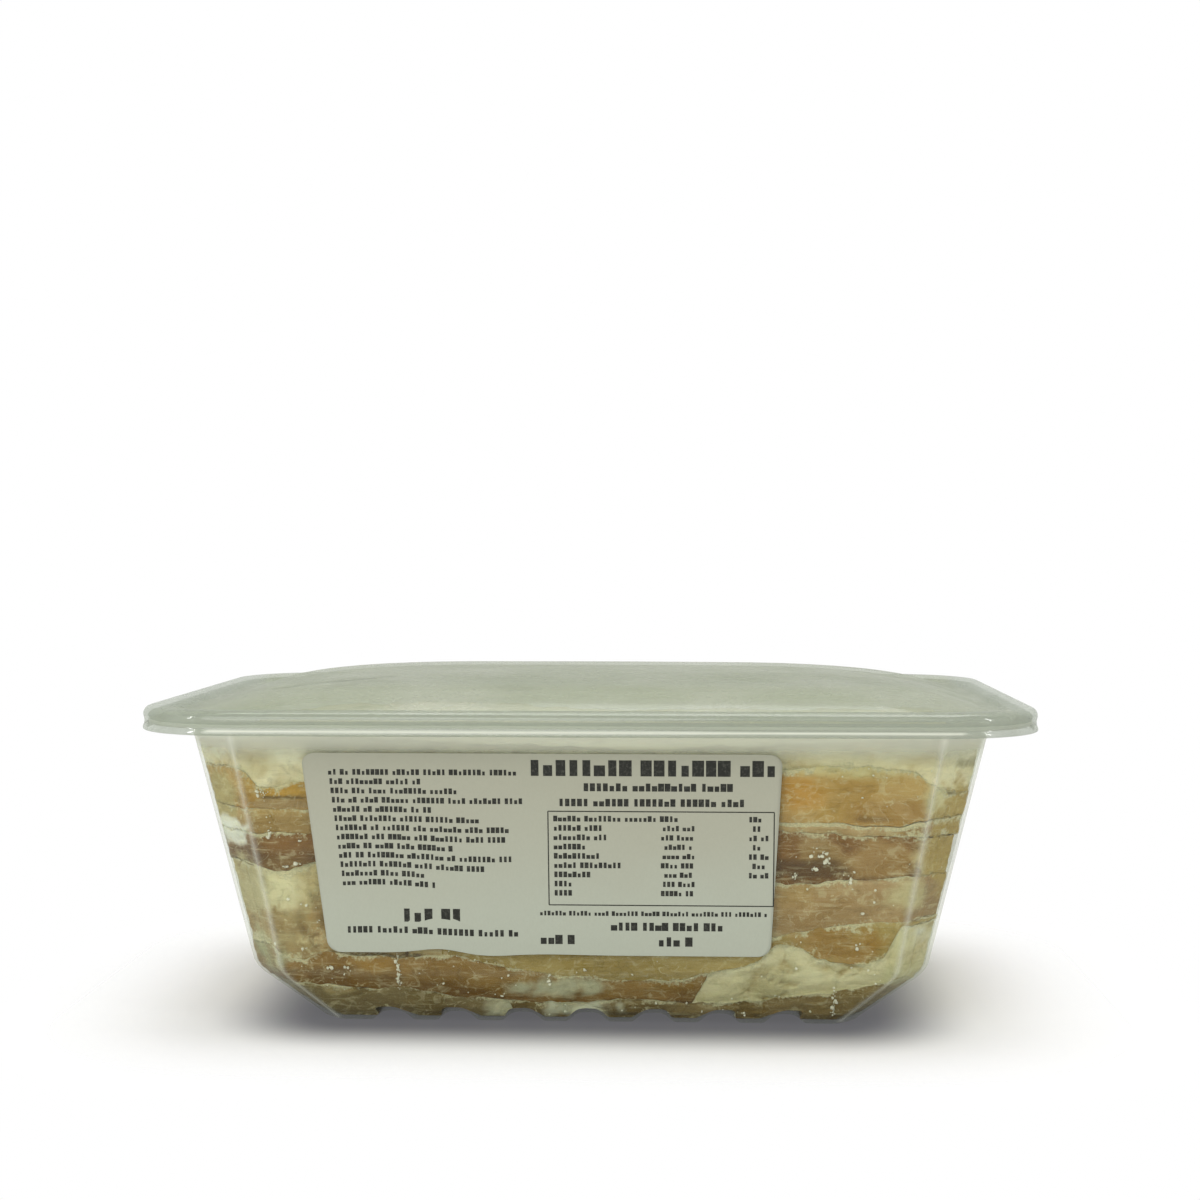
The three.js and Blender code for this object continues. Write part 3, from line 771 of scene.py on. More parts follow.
def tub_plastic(settings):
    """Clear glossy plastic, a little hazy and whiter where brine dried on it; whiter along its folds, partly
    thicker plastic and partly a painted highlight, and near its top, partly haze and partly painted light.
    """
    material, graph, surface = shader("clear_tub_plastic")
    place = graph.place()
    cloud = graph.ramp(graph.noise(place, 22.0, 3.0, 0.6), 0.42, 0.72)
    streak = graph.ramp(graph.noise(graph.place((1.0, 1.0, 0.12)), 3.2, 2.0, 0.6), 0.56, 0.76)
    z = graph.add("ShaderNodeSeparateXYZ", {0: place}).outputs[2]
    low = graph.ramp(z, 34.0, 6.0)
    high = graph.ramp(z, 65.0, 73.5)
    fold = graph.attribute("fold")
    haze = graph.times(cloud, 0.015, settings.haze)
    haze = graph.times(graph.times(streak, low), 0.02, haze)
    # Painted light: the wall is milkier and whiter from 65 mm up to its top, partly haze and partly light
    # standing in for what comes through the lid.
    haze = graph.times(high, 0.55, haze)
    facing = graph.facing()
    haze = graph.times(graph.math("POWER", facing, 3.0), 0.12, haze)
    # Painted highlight along the folds and the knee, partly thicker milky plastic.
    haze = graph.times(fold, 0.36, haze, clamp=True)
    clear = graph.add("ShaderNodeBsdfTransparent", {"Color": (0.95, 0.965, 0.935, 1.0)})
    # The whiter colour of the painted highlight on the folds and of the painted light near the top.
    pale = graph.mix(graph.math("MAXIMUM", high, fold), (*settings.tint, 1.0), paint("f0f1e2"))
    milk = graph.add("ShaderNodeBsdfPrincipled", {
        "Base Color": pale, "Roughness": 0.45, "Specular IOR Level": 0.3,
    })
    body = graph.over(haze, clear, milk)
    mirror = graph.times(graph.math("POWER", facing, 5.0), 0.4, 0.012)
    gloss = graph.add("ShaderNodeBsdfGlossy", {"Roughness": 0.12, "Color": WHITE})
    graph.tree.links.new(graph.over(mirror, body, gloss).outputs[0], surface)
    return material


class BuildTub(bpy.types.Operator):
    """Build the clear tub with its flange and grooved base"""

    bl_idname = "cod_tub.build_tub"
    bl_label = "Build tub"

    def execute(self, context):
        settings = context.scene.cod_tub.tub
        material = tub_plastic(settings)
        tree, names = groove_tree()
        mesh = grown(tub_mesh(), tree, names, {
            "Count": float(settings.groove_count),
            "Pitch": settings.groove_pitch,
            "Height": settings.groove_height,
            "Width": settings.groove_width,
            "Material": material,
        })
        put("clear_tub", mesh, material, "tub")
        return {"FINISHED"}


# ---- lid ----

CREASES = (
    # start, end, half width and depth share of a crease in the cushion
    ((-80.0, -43.0), (-72.0, -41.0), 1.3, 0.8),
    ((-71.0, -40.0), (-52.0, -31.0), 1.5, 1.0),
    ((-22.0, -49.0), (-12.0, -51.0), 1.6, 0.5),
    ((30.0, -38.0), (58.0, -46.0), 2.6, -0.6),
    ((62.0, 40.0), (84.0, 28.0), 2.0, 0.7),
)


def crease_depth(x, y):
    """How deep the creases press the cushion in at each place, as shares."""
    total = np.zeros(len(x))
    for start, end, width, share in CREASES:
        a, b = np.array(start), np.array(end)
        along = b - a
        t = np.clip(((x - a[0]) * along[0] + (y - a[1]) * along[1]) / (along @ along), 0, 1)
        away = np.hypot(x - a[0] - t * along[0], y - a[1] - t * along[1])
        total += share * np.exp(-(away / width) ** 2) * np.sin(math.pi * np.clip(t * 0.9 + 0.05, 0, 1))
    return total


def lid_rings(settings):
    """The lid's rings from the middle of its underside, out over the rim and back to its crest."""
    foot = BEAD_WIDTH + CHANNEL_WIDTH
    t = LID_THICKNESS
    rings = []

    def rim(inset, z):
        radius = RIM_RADIUS - inset * 0.8
        rings.append(closed_ring(
            rounded_front(RIM_HALF_LENGTH - inset, RIM_HALF_DEPTH - inset, radius), z))

    def cushion(share, lower):
        half_length = (RIM_HALF_LENGTH - foot) * share
        half_depth = (RIM_HALF_DEPTH - foot) * share
        blend = share ** 3
        radius = half_depth * 0.55 * (1 - blend) + (RIM_RADIUS - foot * 0.8) * blend
        height = CHANNEL_TOP + (CUSHION_TOP - CHANNEL_TOP) * (1 - 0.22 * share ** 2 - 0.78 * share ** 6)
        ring = closed_ring(rounded_front(half_length, half_depth, radius), height)
        x, y = ring[:, 0], ring[:, 1]
        free = 1 - smooth(share, 0.93, 1.0)
        wave = noise(level_points(x, y), (46.0, 30.0, 1.0), LID_WARP_SEED) - 1
        ring[:, 2] += free * settings.warp / MM * 0.5 * wave
        ring[:, 2] -= free * settings.dent / MM * np.abs(crease_depth(x, y))
        ring[:, 2] -= lower
        rings.append(ring)

    shares = [0.08, 0.16, 0.24, 0.32, 0.4, 0.48, 0.54, 0.6, 0.65, 0.7, 0.74, 0.78, 0.81, 0.84, 0.865, 0.89]
    shares += [0.91, 0.93, 0.945, 0.96, 0.97, 0.98, 0.99, 1.0]
    for share in shares:
        cushion(share, t)
    for inset, z in ((10.2, 77.0), (9.2, 77.0), (8.4, 77.0), (7.8, 77.15), (7.2, 77.7), (6.6, 78.2),
                     (6.0, 78.35), (4.4, 78.4), (3.0, 78.35), (2.2, 78.2), (1.6, 77.8), (1.2, 77.2),
                     (1.55, 76.3), (1.5, 75.5), (t, 75.0), (t, 74.2), (t, SKIRT_BOTTOM + 0.2)):
        rim(inset, z)
    for inset, z in ((t * 0.75, SKIRT_BOTTOM), (t * 0.3, SKIRT_BOTTOM), (0.08, SKIRT_BOTTOM + 0.12),
                     (0.0, SKIRT_BOTTOM + 0.4), (0.02, 74.4), (0.1, 74.7), (0.22, 74.92), (0.33, 75.1),
                     (0.38, 75.4), (0.34, 76.4), (0.18, 77.0), (0.12, 77.5), (0.2, 78.1), (0.5, 78.7),
                     (1.0, 79.15), (1.6, 79.4), (2.4, BEAD_TOP),
                     (4.0, BEAD_TOP + 0.05), (5.6, BEAD_TOP), (6.4, 79.4), (7.0, 79.15), (7.5, 78.75),
                     (7.9, 78.35), (8.3, 78.1), (9.0, CHANNEL_TOP), (10.2, CHANNEL_TOP)):
        rim(inset, z)
    for share in reversed(shares):
        cushion(share, 0.0)
    return rings


def lid_mesh(settings):
    """The lid's shell, with values that say how near its rim, its lip and a crease are."""
    shell = Shell(lid_rings(settings))
    points = np.vstack(shell.points)
    reach = np.maximum(np.abs(points[:, 0]) - RIM_HALF_LENGTH, np.abs(points[:, 1]) - RIM_HALF_DEPTH)
    rim = smooth(reach, -9.5, -6.5)
    # lip: the band at the skirt's lower edge that is painted whiter, partly its whitish cut edge and partly
    # a painted highlight.
    lip = np.exp(-((points[:, 2] - 74.85) / 0.3) ** 2) * smooth(reach, -1.1, -0.6)
    # crease: where the plastic is painted darker, as painted shade in the creases.
    crease = np.clip(crease_depth(points[:, 0], points[:, 1]), 0, 1) * (points[:, 2] > CHANNEL_TOP)
    return shell.mesh("lid", {"rim": rim, "lip": lip, "crease": crease})


def lid_plastic(settings):
    """Satin translucent plastic, clearer round the rim, with faint clouds and scuffs, a painted highlight
    along its lip, partly its whitish cut edge, and painted shade along its creases.
    """
    material, graph, surface = shader("milky_lid_plastic")
    place = graph.place()
    cloud = graph.noise(place, 30.0, 3.0, 0.55)
    fine = graph.noise(graph.place((0.6, 1.0, 1.0)), 1.6, 4.0, 0.7)
    rim = graph.attribute("rim")
    cover = graph.times(graph.math("SUBTRACT", cloud, 0.5), 0.25, settings.cover)
    cover = graph.times(rim, -0.1, cover, clamp=True)
    lip = graph.attribute("lip")
    crease = graph.attribute("crease")
    facing = graph.facing()
    flat = graph.times(graph.ramp(facing, 0.75, 0.05), graph.ramp(rim, 0.5, 0.0))
    cover = graph.times(flat, -0.26, cover)
    # The lip is made more opaque for its painted highlight.
    cover = graph.times(lip, 0.5, cover, clamp=True)
    shade = graph.mix(graph.ramp(cloud, 0.35, 0.7), (*settings.tint, 1.0), paint("a6aa98"))
    shade = graph.mix(graph.times(rim, 0.7), shade, paint("9ea698"))
    # Painted shade along the creases.
    shade = graph.mix(graph.times(crease, 0.85), shade, paint("5f6556"))
    # Painted highlight along the lip, partly its whitish cut edge.
    shade = graph.mix(lip, shade, paint("dcdecd"))
    rough = graph.ramp(fine, 0.3, 0.8, 0.24, 0.38)
    normal = graph.bump(fine, 0.015, 0.3)
    milk = graph.add("ShaderNodeBsdfPrincipled", {
        "Base Color": shade, "Roughness": rough, "IOR": 1.3, "Normal": normal,
    })
    clear = graph.add("ShaderNodeBsdfTransparent", {"Color": (0.93, 0.95, 0.91, 1.0)})
    body = graph.over(cover, clear, milk)
    gloss = graph.add("ShaderNodeBsdfGlossy", {"Roughness": 0.11, "Color": WHITE})
    mirror = graph.times(graph.math("POWER", facing, 5.0), 0.02, 0.03)
    mirror = graph.times(rim, 0.025, mirror)
    graph.tree.links.new(graph.over(mirror, body, gloss).outputs[0], surface)
    return material


class BuildLid(bpy.types.Operator):
    """Build the cushioned lid with its round rim bead"""

    bl_idname = "cod_tub.build_lid"
    bl_label = "Build lid"

    def execute(self, context):
        settings = context.scene.cod_tub.lid
        put("cushioned_lid", lid_mesh(settings), lid_plastic(settings), "lid")
        return {"FINISHED"}


# ---- label ----

LABEL_BOTTOM = 18.5
LABEL_TOP = 68.7
LABEL_TOP_ENDS = (-68.7, 47.6)
LABEL_BOTTOM_ENDS = (-63.7, 45.0)
LABEL_RADIUS = 3.0
LABEL_THICKNESS = 0.25
LABEL_GAP = 0.3
LABEL_STEP = 1.0


def front_wall(z):
    """The y of the front wall's outer face at each height."""
    return -section(z)[1]


def label_lift(x, z, wrinkle):
    """How far the paper stands off the wall at each place, in millimetres."""
    low = smooth(z, 34, 19)
    bubble = np.exp(-((x + 36) / 9) ** 2) * low + 0.6 * np.exp(-((x + 14) / 7) ** 2) * low
    soft = 0.5 + 0.5 * noise(level_points(x, z), (17.0, 11.0, 1.0), PAPER_SEED)
    return wrinkle * (0.35 * soft + 0.9 * bubble)


def label_place(x, z, wrinkle, above=0.0):
    """A point of the label's outer face, at a distance above the paper."""
    y = front_wall(z) - LABEL_GAP - LABEL_THICKNESS - above - label_lift(x, z, wrinkle)
    return np.column_stack([x, y, z])


def label_foot(x):
    """The height of the label's wavy lower edge."""
    wave = 1.1 * np.exp(-((x + 36) / 7) ** 2) - 0.7 * np.exp(-((x + 24) / 9) ** 2)
    return LABEL_BOTTOM + wave - 0.35 * smooth(x, -20, 10)


def label_mesh(wrinkle):
    """The paper as a closed sheet with rounded corners and a wavy foot."""
    tall = LABEL_TOP - LABEL_BOTTOM
    turn = [LABEL_RADIUS * (1 - math.cos(k / 8 * TAU / 4)) for k in range(8)]
    middle = np.linspace(LABEL_RADIUS, tall - LABEL_RADIUS, int(tall / LABEL_STEP))
    ups = np.array([*turn, *middle, *[tall - v for v in reversed(turn)]])
    across = np.linspace(0, 1, int((LABEL_TOP_ENDS[1] - LABEL_TOP_ENDS[0]) / LABEL_STEP))
    rows = []
    for up in ups:
        share = up / tall
        near = min(up, tall - up, LABEL_RADIUS)
        tuck = LABEL_RADIUS - math.sqrt(max(0.0, LABEL_RADIUS ** 2 - (LABEL_RADIUS - near) ** 2))
        left = LABEL_BOTTOM_ENDS[0] + (LABEL_TOP_ENDS[0] - LABEL_BOTTOM_ENDS[0]) * share + tuck
        right = LABEL_BOTTOM_ENDS[1] + (LABEL_TOP_ENDS[1] - LABEL_BOTTOM_ENDS[1]) * share - tuck
        x = left + (right - left) * across
        foot = label_foot(x)
        rows.append(np.column_stack([x, foot + (LABEL_TOP - foot) * share]))
    plan = np.vstack(rows)
    outer = label_place(plan[:, 0], plan[:, 1], wrinkle)
    inner = outer + (0, LABEL_THICKNESS, 0)
    count_x, count_z = len(across), len(ups)
    grid = np.arange(count_x * count_z).reshape(count_z, count_x)
    face = quads(grid, by_rows=True)
    edge = [*grid[0, :], *grid[1:, -1], *grid[-1, -2::-1], *grid[-2:0:-1, 0]]
    edge = np.array(edge)
    following = np.roll(edge, -1)
    total = count_x * count_z
    band = np.column_stack([edge + total, following + total, following, edge])
    faces = np.vstack([face, face[:, ::-1] + total, band])
    return make_mesh("label", np.vstack([outer, inner]), faces)


def printed_marks():
    """Places and sizes of the printed marks: x, z, width and height of each, in millimetres."""
    draw = np.random.default_rng(PRINT_SEED)
    marks = []

    def words(left, right, z, height, letters=(2, 9), bold=1.0, wave=0.0):
        """A line of words, each a run of small blocks."""
        x = left
        step = height * 0.78
        while x < right - step:
            count = int(draw.integers(*letters))
            for _ in range(count):
                if x > right - step * 0.5:
                    break
                width = step * (0.5 + 0.4 * draw.random()) * bold
                rise = wave * math.sin((x - left) / 7.0) - wave * 0.05 * (x - left)
                tall = height * (1.0 if draw.random() < 0.6 else 0.68)
                marks.append((x + step / 2, z + rise - (height - tall) / 2, width, tall))
                x += step
            x += step * 0.6

    def rule(left, right, z, thickness=0.28):
        count = max(1, int((right - left) / 3))
        width = (right - left) / count
        for k in range(count):
            marks.append((left + width * (k + 0.5), z, width * 1.02, thickness))

    def post(x, low, high, thickness=0.28):
        count = int((high - low) / 3)
        tall = (high - low) / count
        for k in range(count):
            marks.append((x, low + tall * (k + 0.5), thickness, tall * 1.02))

    ends = (-16.9, -39.6, -30.7, -15.3, -37.0, -26.0, -18.4, -18.8, -32.2, -17.3, -24.3, -38.0, -36.2)
    for k, end in enumerate(ends):
        share = k / (len(ends) - 1)
        words(-62.3 + 2.6 * share, end, 64.0 - 2.31 * k, 1.45, wave=0.5 * share ** 1.5)
    words(-45.3, -29.4, 28.1, 3.4, letters=(3, 4), bold=1.0)
    words(-59.0, -16.3, 24.3, 1.7, letters=(4, 10), wave=0.25)
    words(-13.6, 46.3, 65.2, 4.0, letters=(7, 9), bold=1.12)
    words(-0.5, 36.2, 60.5, 2.0, letters=(6, 12), bold=1.05)
    words(-6.5, 40.4, 56.7, 1.9, letters=(4, 11))
    for z in (54.5, 31.0):
        rule(-9.0, 45.6, z)
    post(-9.0, 31.0, 54.5)
    post(45.6, 31.0, 54.5)
    rows = (30.0, 12.0, 13.0, 8.6, 12.6, 17.0, 9.0, 5.0, 4.6)
    for k, wide in enumerate(rows):
        z = 52.7 - 2.33 * k
        words(-7.8, -7.8 + wide, z, 1.45, letters=(5, 11))
        if 0 < k:
            words(22.5 - 3.5 - 0.4 * (k % 3), 26.4, z, 1.35, letters=(3, 7))
        if k < 7:
            words(39.4 + 0.9 * (k % 2), 43.9, z, 1.4, letters=(2, 4))
    words(-11.4, 44.3, 28.9, 1.2, letters=(3, 8))
    words(6.0, 32.8, 25.6, 2.1, letters=(3, 8), bold=1.1)
    words(-11.4, -2.4, 22.2, 2.4, letters=(3, 4), bold=1.12)
    words(17.4, 26.4, 21.8, 2.4, letters=(3, 4), bold=1.12)
    return np.array(marks)


def marks_tree():
    """Puts one thin block on every point, as wide and as tall as the point says."""
    tree, graph, start, names = geometry_tree("Printed marks", {
        "Thickness": "Float", "Lean": "Float", "Material": "Material",
    })
    block = graph.add("GeometryNodeMeshCube", {"Size": (1.0, 1.0, 1.0)})
    size = [
        graph.add("GeometryNodeInputNamedAttribute", {"Name": key}, data_type="FLOAT").outputs["Attribute"]
        for key in ("wide", "tall")
    ]
    scale = graph.add("ShaderNodeCombineXYZ", {"X": size[0], "Y": start.outputs["Thickness"], "Z": size[1]})
    turn = graph.add("ShaderNodeCombineXYZ", {"X": start.outputs["Lean"]})
    points = graph.add("GeometryNodeMeshToPoints", {"Mesh": start.outputs["Geometry"]})
    placed = graph.add("GeometryNodeInstanceOnPoints", {
        "Points": points.outputs[0], "Instance": block.outputs[0],
        "Rotation": turn.outputs[0], "Scale": scale.outputs[0],
    })
    close_tree(graph, placed.outputs[0], start.outputs["Material"])
    return tree, names


def label_paper(settings):
    """Slightly yellowed coated paper with faint fibres and a soft sheen, with painted light that makes it
    lighter and cooler towards its foot.
    """
    material, graph, surface = shader("label_paper")
    place = graph.place()
    fibre = graph.noise(graph.place((1.0, 1.0, 0.5)), 0.5, 4.0, 0.7)
    # Painted light: the paper grows lighter and cooler downwards, as where light from the floor falls on it;
    # this noise wobbles its edge.
    floor_light_wobble = graph.noise(place, 26.0, 3.0, 0.55)
    z = graph.add("ShaderNodeSeparateXYZ", {0: place}).outputs[2]
    floor_light_height = graph.times(floor_light_wobble, 24.0, z)
    tone = graph.mix(graph.ramp(floor_light_height, 72.0, 34.0), (*settings.paper, 1.0), paint("afb4a3"))
    tone = graph.mix(graph.ramp(fibre, 0.3, 0.8, 0.0, 0.12), tone, paint("8f8f7e"))
    paper = graph.add("ShaderNodeBsdfPrincipled", {
        "Base Color": tone, "Roughness": 0.5, "Specular IOR Level": 0.35,
        "Normal": graph.bump(fibre, 0.1, 0.1),
    })
    graph.tree.links.new(paper.outputs[0], surface)
    return material


def label_ink(settings):
    """Dark print, a little worn where the paper's fibres show through."""
    material, graph, surface = shader("label_ink")
    wear = graph.noise(graph.place(), 0.7, 3.0, 0.7)
    tone = graph.mix(graph.ramp(wear, 0.45, 0.8, 0.0, 0.35), (*settings.ink, 1.0), paint("77786c"))
    ink = graph.add("ShaderNodeBsdfPrincipled", {
        "Base Color": tone, "Roughness": 0.55, "Specular IOR Level": 0.3,
    })
    graph.tree.links.new(ink.outputs[0], surface)
    return material


class BuildLabel(bpy.types.Operator):
    """Build the paper label and its generic print"""

    bl_idname = "cod_tub.build_label"
    bl_label = "Build label"

    def execute(self, context):
        settings = context.scene.cod_tub.label
        wrinkle = settings.wrinkle / MM
        put("paper_label", label_mesh(wrinkle), label_paper(settings), "label")
        marks = printed_marks()
        above = settings.mark_height / MM / 2
        places = label_place(marks[:, 0], marks[:, 1], wrinkle, above)
        dots = bpy.data.meshes.new("marks")
        dots.from_pydata((places * MM).tolist(), [], [])
        for key, column in (("wide", 2), ("tall", 3)):
            layer = dots.attributes.new(key, "FLOAT", "POINT")
            layer.data.foreach_set("value", (marks[:, column] * MM).astype(np.float32))
        ink = label_ink(settings)
        tree, names = marks_tree()
        lean = math.atan2(SECTIONS[2, 2] - SECTIONS[1, 2], WALL_TOP - KNEE)
        mesh = grown(dots, tree, names, {
            "Thickness": settings.mark_height, "Lean": lean, "Material": ink,
        })
        put("printed_marks", mesh, ink)
        return {"FINISHED"}


# ---- fillets ----


def seam_height(name, p, q):
    """The height of a seam at shares p and q of the tub's half length and half depth."""
    (left, middle, right), back, swell_share, ripple_share = SEAMS[name]
    if name == "floor":
        return base_height(p) + FLOOR_GAP
    along = middle + (right - left) / 2 * p + ((left + right) / 2 - middle) * p * p
    x, y = p * MEAN_LENGTH, q * MEAN_DEPTH
    swell = 1.3 * np.sin(TAU * (x / 143 + 0.13)) * np.cos(TAU * y / 163)
    swell = swell + 0.7 * np.sin(TAU * (y / 97 - x / 201 + 0.4))
    number = SEAM_NAMES.index(name)
    phase = number * 2.4
    ripple = np.sin(7.6 * p + 1.9 * q + phase) * np.cos(2.6 * q + 1.7 * phase)
    height = along + back * q + swell_share * swell + ripple_share * ripple
    if name in SEAM_FRONTS:
        places, heights = np.array(SEAM_FRONTS[name]).T
        reach = float(section(middle, WALL)[0])
        front = sum(np.interp(p * reach + shift, places, heights) for shift in (-0.8, 0.0, 0.8)) / 3
        near = smooth(q, -0.4, -0.85)
        height = height + (front - height) * near
    flat = level_points(x, y)
    crags = 0.8 * crumpled(flat, 6.5, number) + 0.25 * noise(flat, 1.6, number + SEAM_CRAGS)
    return height + crags.reshape(x.shape)


def base_height(p):
    """The height of the base's inner face, which rises over its grooves, at a share p of its length."""
    tub = bpy.context.scene.cod_tub.tub
    pitch, half = tub.groove_pitch / MM, tub.groove_width / MM / 2
    x = p * float(section(GROOVE_LEVEL, WALL)[0])
    number = np.round(x / pitch)
    share = np.clip(np.abs(x - number * pitch) / half, 0, 1)
    crest = 0.5 + 0.5 * np.cos(math.pi * share ** GROOVE_CREST)
    lift = np.where(np.abs(number) < tub.groove_count / 2, crest, 0) * tub.groove_height / MM
    return WALL + lift


def ragged(t, phase):
    """How far an edge is drawn in at t along it."""
    slow = 1 + 0.6 * np.sin(7 * t + phase) + 0.4 * np.sin(17 * t + 2.3 * phase)
    return RAGGED * slow / 2


def within_clips(x, y, half_length, half_depth, clip):
    """Places in plan, moved straight in to the clipped corners where they lie past them."""
    over = np.maximum(0, np.abs(x) + np.abs(y) - (half_length + half_depth - clip))
    return x - np.sign(x) * over / 2, y - np.sign(y) * over / 2


def in_tub(p, q, z):
    """Points of the plan at their heights, kept inside the tub's walls and rounded base edge."""
    half_length, half_depth, clip = section(z, WALL + FISH_CLEARANCE)
    low = np.maximum(0, BASE_ROUND - np.asarray(z)) * BASE_LEAN
    half_length, half_depth = half_length - low, half_depth - low
    x, y = within_clips(p * half_length, q * half_depth, half_length, half_depth, clip)
    return np.stack([x, y, z], axis=-1)


# How far in from the edge the rings of a face lie, on hidden faces and on the stack's open top.
INNER_RINGS = (1.7, 3.0, 5.0, 8.0, 13.0, 20.0, 30.0, 42.0, 58.0)
OPEN_RINGS = (1.7, 3.0, 5.0, 7.5, 10.0, 12.5, 15.0, 18.0, 21.0, 25.0, 29.0, 34.0, 39.0, 45.0, 51.0, 58.0)
LEVEL_HEIGHT = 0.6                # the spacing of the rings up a fillet's side
RIM_ACROSS, RIM_DOWN = 2.5, 1.4   # how far the edge's salt reaches over a face and down a side
CALM_ENDS = (66.0, 80.0)          # between these places along the tub the lumps die down
DEEP_LUMPS = 1.4                  # the size of lumps whose hollows get the full painted shade
FLAKE_SIZE = 3.2                  # the size of the flakes between the flesh's fine cracks
SPINE_REACH = 0.5                 # the share of a fillet's length that the middle line of a face takes up


def fillet_plan(name, s, t):
    """Shares p and q of the tub for shares s and t of a fillet's own length and width."""
    ends, sides, slants = FILLETS[name].ends, FILLETS[name].sides, FILLETS[name].slants
    phase = 2.1 * FILLET_NUMBERS[name]
    left = ends[0] + slants[0] * (t - 0.5) + ragged(t, phase)
    right = ends[1] + slants[1] * (t - 0.5) - ragged(t, phase + 1.7)
    front = sides[0] + ragged(s, phase + 3.1)
    back = sides[1] - ragged(s, phase + 4.6)
    return left + (right - left) * s, front + (back - front) * t


def fillet_heights(name, p, q):
    """The heights of a fillet's two faces. Here and there its upper face sinks and leaves a gap."""
    under, over = FILLETS[name].under, FILLETS[name].over
    flat = level_points(p * MEAN_LENGTH, q * MEAN_DEPTH)
    gap = SEAM_GAP * smooth(noise(flat, 13.0, SEAM_NAMES.index(over) + SEAM_GAPS), 0.3, 0.85)
    low = seam_height(under, p, q)
    high = seam_height(over, p, q) - gap.reshape(np.shape(p))
    return low, np.maximum(high, low + THINNEST)


SURFACES = {}                     # each fillet's surface, once it has been worked out


def fillet_surface(name, settings):
    """A fillet's points, faces and values, worked out once."""
    if name not in SURFACES:
        SURFACES[name] = new_surface(name, settings)
    return SURFACES[name]


def new_surface(name, settings):
    """A fillet's points and faces, and a value for each point that says how near a rim it is."""
    ends, sides, lumps = FILLETS[name].ends, FILLETS[name].sides, FILLETS[name].lumps
    number = FILLET_NUMBERS[name]
    step = settings.step / MM
    along = int((ends[1] - ends[0]) * MEAN_LENGTH / step)
    across = int((sides[1] - sides[0]) * MEAN_DEPTH / step)
    run, rise = np.arange(along) / along, np.arange(across) / across
    s = np.concatenate([run, np.ones(across), 1 - run, np.zeros(across)])
    t = np.concatenate([np.zeros(along), rise, np.ones(along), 1 - rise])
    inward = np.column_stack([
        (s == 0).astype(float) - (s == 1), (t == 0).astype(float) - (t == 1), np.zeros(len(s)),
    ])
    p, q = fillet_plan(name, s, t)
    low, high = fillet_heights(name, p, q)
    thick = high - low
    plan = np.column_stack([p * MEAN_LENGTH, q * MEAN_DEPTH, thick])
    soft = 1 + 0.9 * noise(plan, (4.0, 4.0, 50.0), number + ROUNDING_SEED)
    rounding = np.minimum(settings.rounding / MM * soft, thick * 0.42)

    def plate(u, top):
        inner_s = 0.5 + (s - 0.5) * (1 - (1 - SPINE_REACH) * u)
        pp, qq = fillet_plan(name, inner_s, 0.5 + (t - 0.5) * (1 - u))
        return in_tub(pp, qq, fillet_heights(name, pp, qq)[top])

    rings = []
    values = {"rim": [], "height": [], "hollow": [], "side": []}

    def add(ring, rim, height, hollow=0.0, side=0.0):
        rings.append(ring)
        for key, value in zip(values, (rim, height, hollow, side)):
            values[key].append(np.broadcast_to(value, s.shape))

    def add_plate(depths, top):
        reach = (sides[1] - sides[0]) * MEAN_DEPTH / 2
        for depth in depths:
            share = depth / INNER_RINGS[-1]
            add(plate(share, top), math.exp(-share * reach / RIM_ACROSS), top)

    add_plate(reversed(INNER_RINGS), 0)
    levels = int(np.clip(thick.max() / LEVEL_HEIGHT, 6, 34))
    for share in 0.5 - 0.5 * np.cos(np.linspace(0, math.pi, levels + 1)):
        z = low + thick * share
        part = np.clip(1 - thick * min(share, 1 - share) / rounding, 0, 1)
        place = in_tub(p, q, z)
        tuck = rounding * (1 - np.sqrt(1 - part ** 2))
        ridges = noise(place, (9.0, 9.0, 0.9), number + RIDGE_SEED)
        ridges = ridges + 0.7 * noise(place, (3.0, 3.0, 1.5), number + FINE_RIDGE_SEED)
        relief = settings.grain / MM * 0.4 * (1 + ridges)
        mounds = np.clip(0.45 + 0.75 * crumpled(place, 4.6, number + MOUND_SEED), 0, 1.2)
        cleft = np.exp(-(crumpled(place, (9.0, 9.0, 5.0), number + CLEFT_SEED) / 0.07) ** 2)
        cleft = cleft * smooth(noise(place, 7.0, number + CLEFT_PATCH_SEED), 0.0, 0.4)
        calm = 1 - 0.8 * smooth(np.abs(place[:, 0]), *CALM_ENDS)
        relief = relief + lumps * calm * (mounds + 0.8 * cleft)
        ring = place + inward * (tuck + relief * (1 - 0.7 * part))[:, None]
        # hollow marks where the flesh lies deep among the lumps; it gets painted shade.
        hollow = np.clip(1.5 * (mounds - 0.5) + cleft, 0, 1) * min(lumps / DEEP_LUMPS, 1.0)
        add(ring, np.exp(-thick * min(share, 1 - share) / RIM_DOWN), share, hollow, 1.0)
    add_plate(OPEN_RINGS if FILLETS[name].over == "top" else INNER_RINGS, 1)
    count = len(s)
    faces = [band(k * count, (k + 1) * count, count) for k in range(len(rings) - 1)]
    values = {key: np.concatenate(parts) for key, parts in values.items()}
    return np.vstack(rings), np.vstack(faces), values


def stained_and_shaded(tone, place, patches):
    """Colours with soft-edged patches laid over them in turn: stain and colour of the flesh, and painted
    shade just above some seams.
    """
    wander = 0.5 * crumpled(place, 3.8, STAIN_AND_SHADE_SEED)
    for x, y, z, rx, ry, rz, hue, strength, soft in patches:
        away = np.sqrt((((place - (x, y, z)) / (rx, ry, rz)) ** 2).sum(axis=1)) + wander
        share = strength * smooth(away, 1 + soft, 1 - soft)
        tone = tone + (np.array(paint(hue)[:3]) - tone) * share[:, None]
    return tone


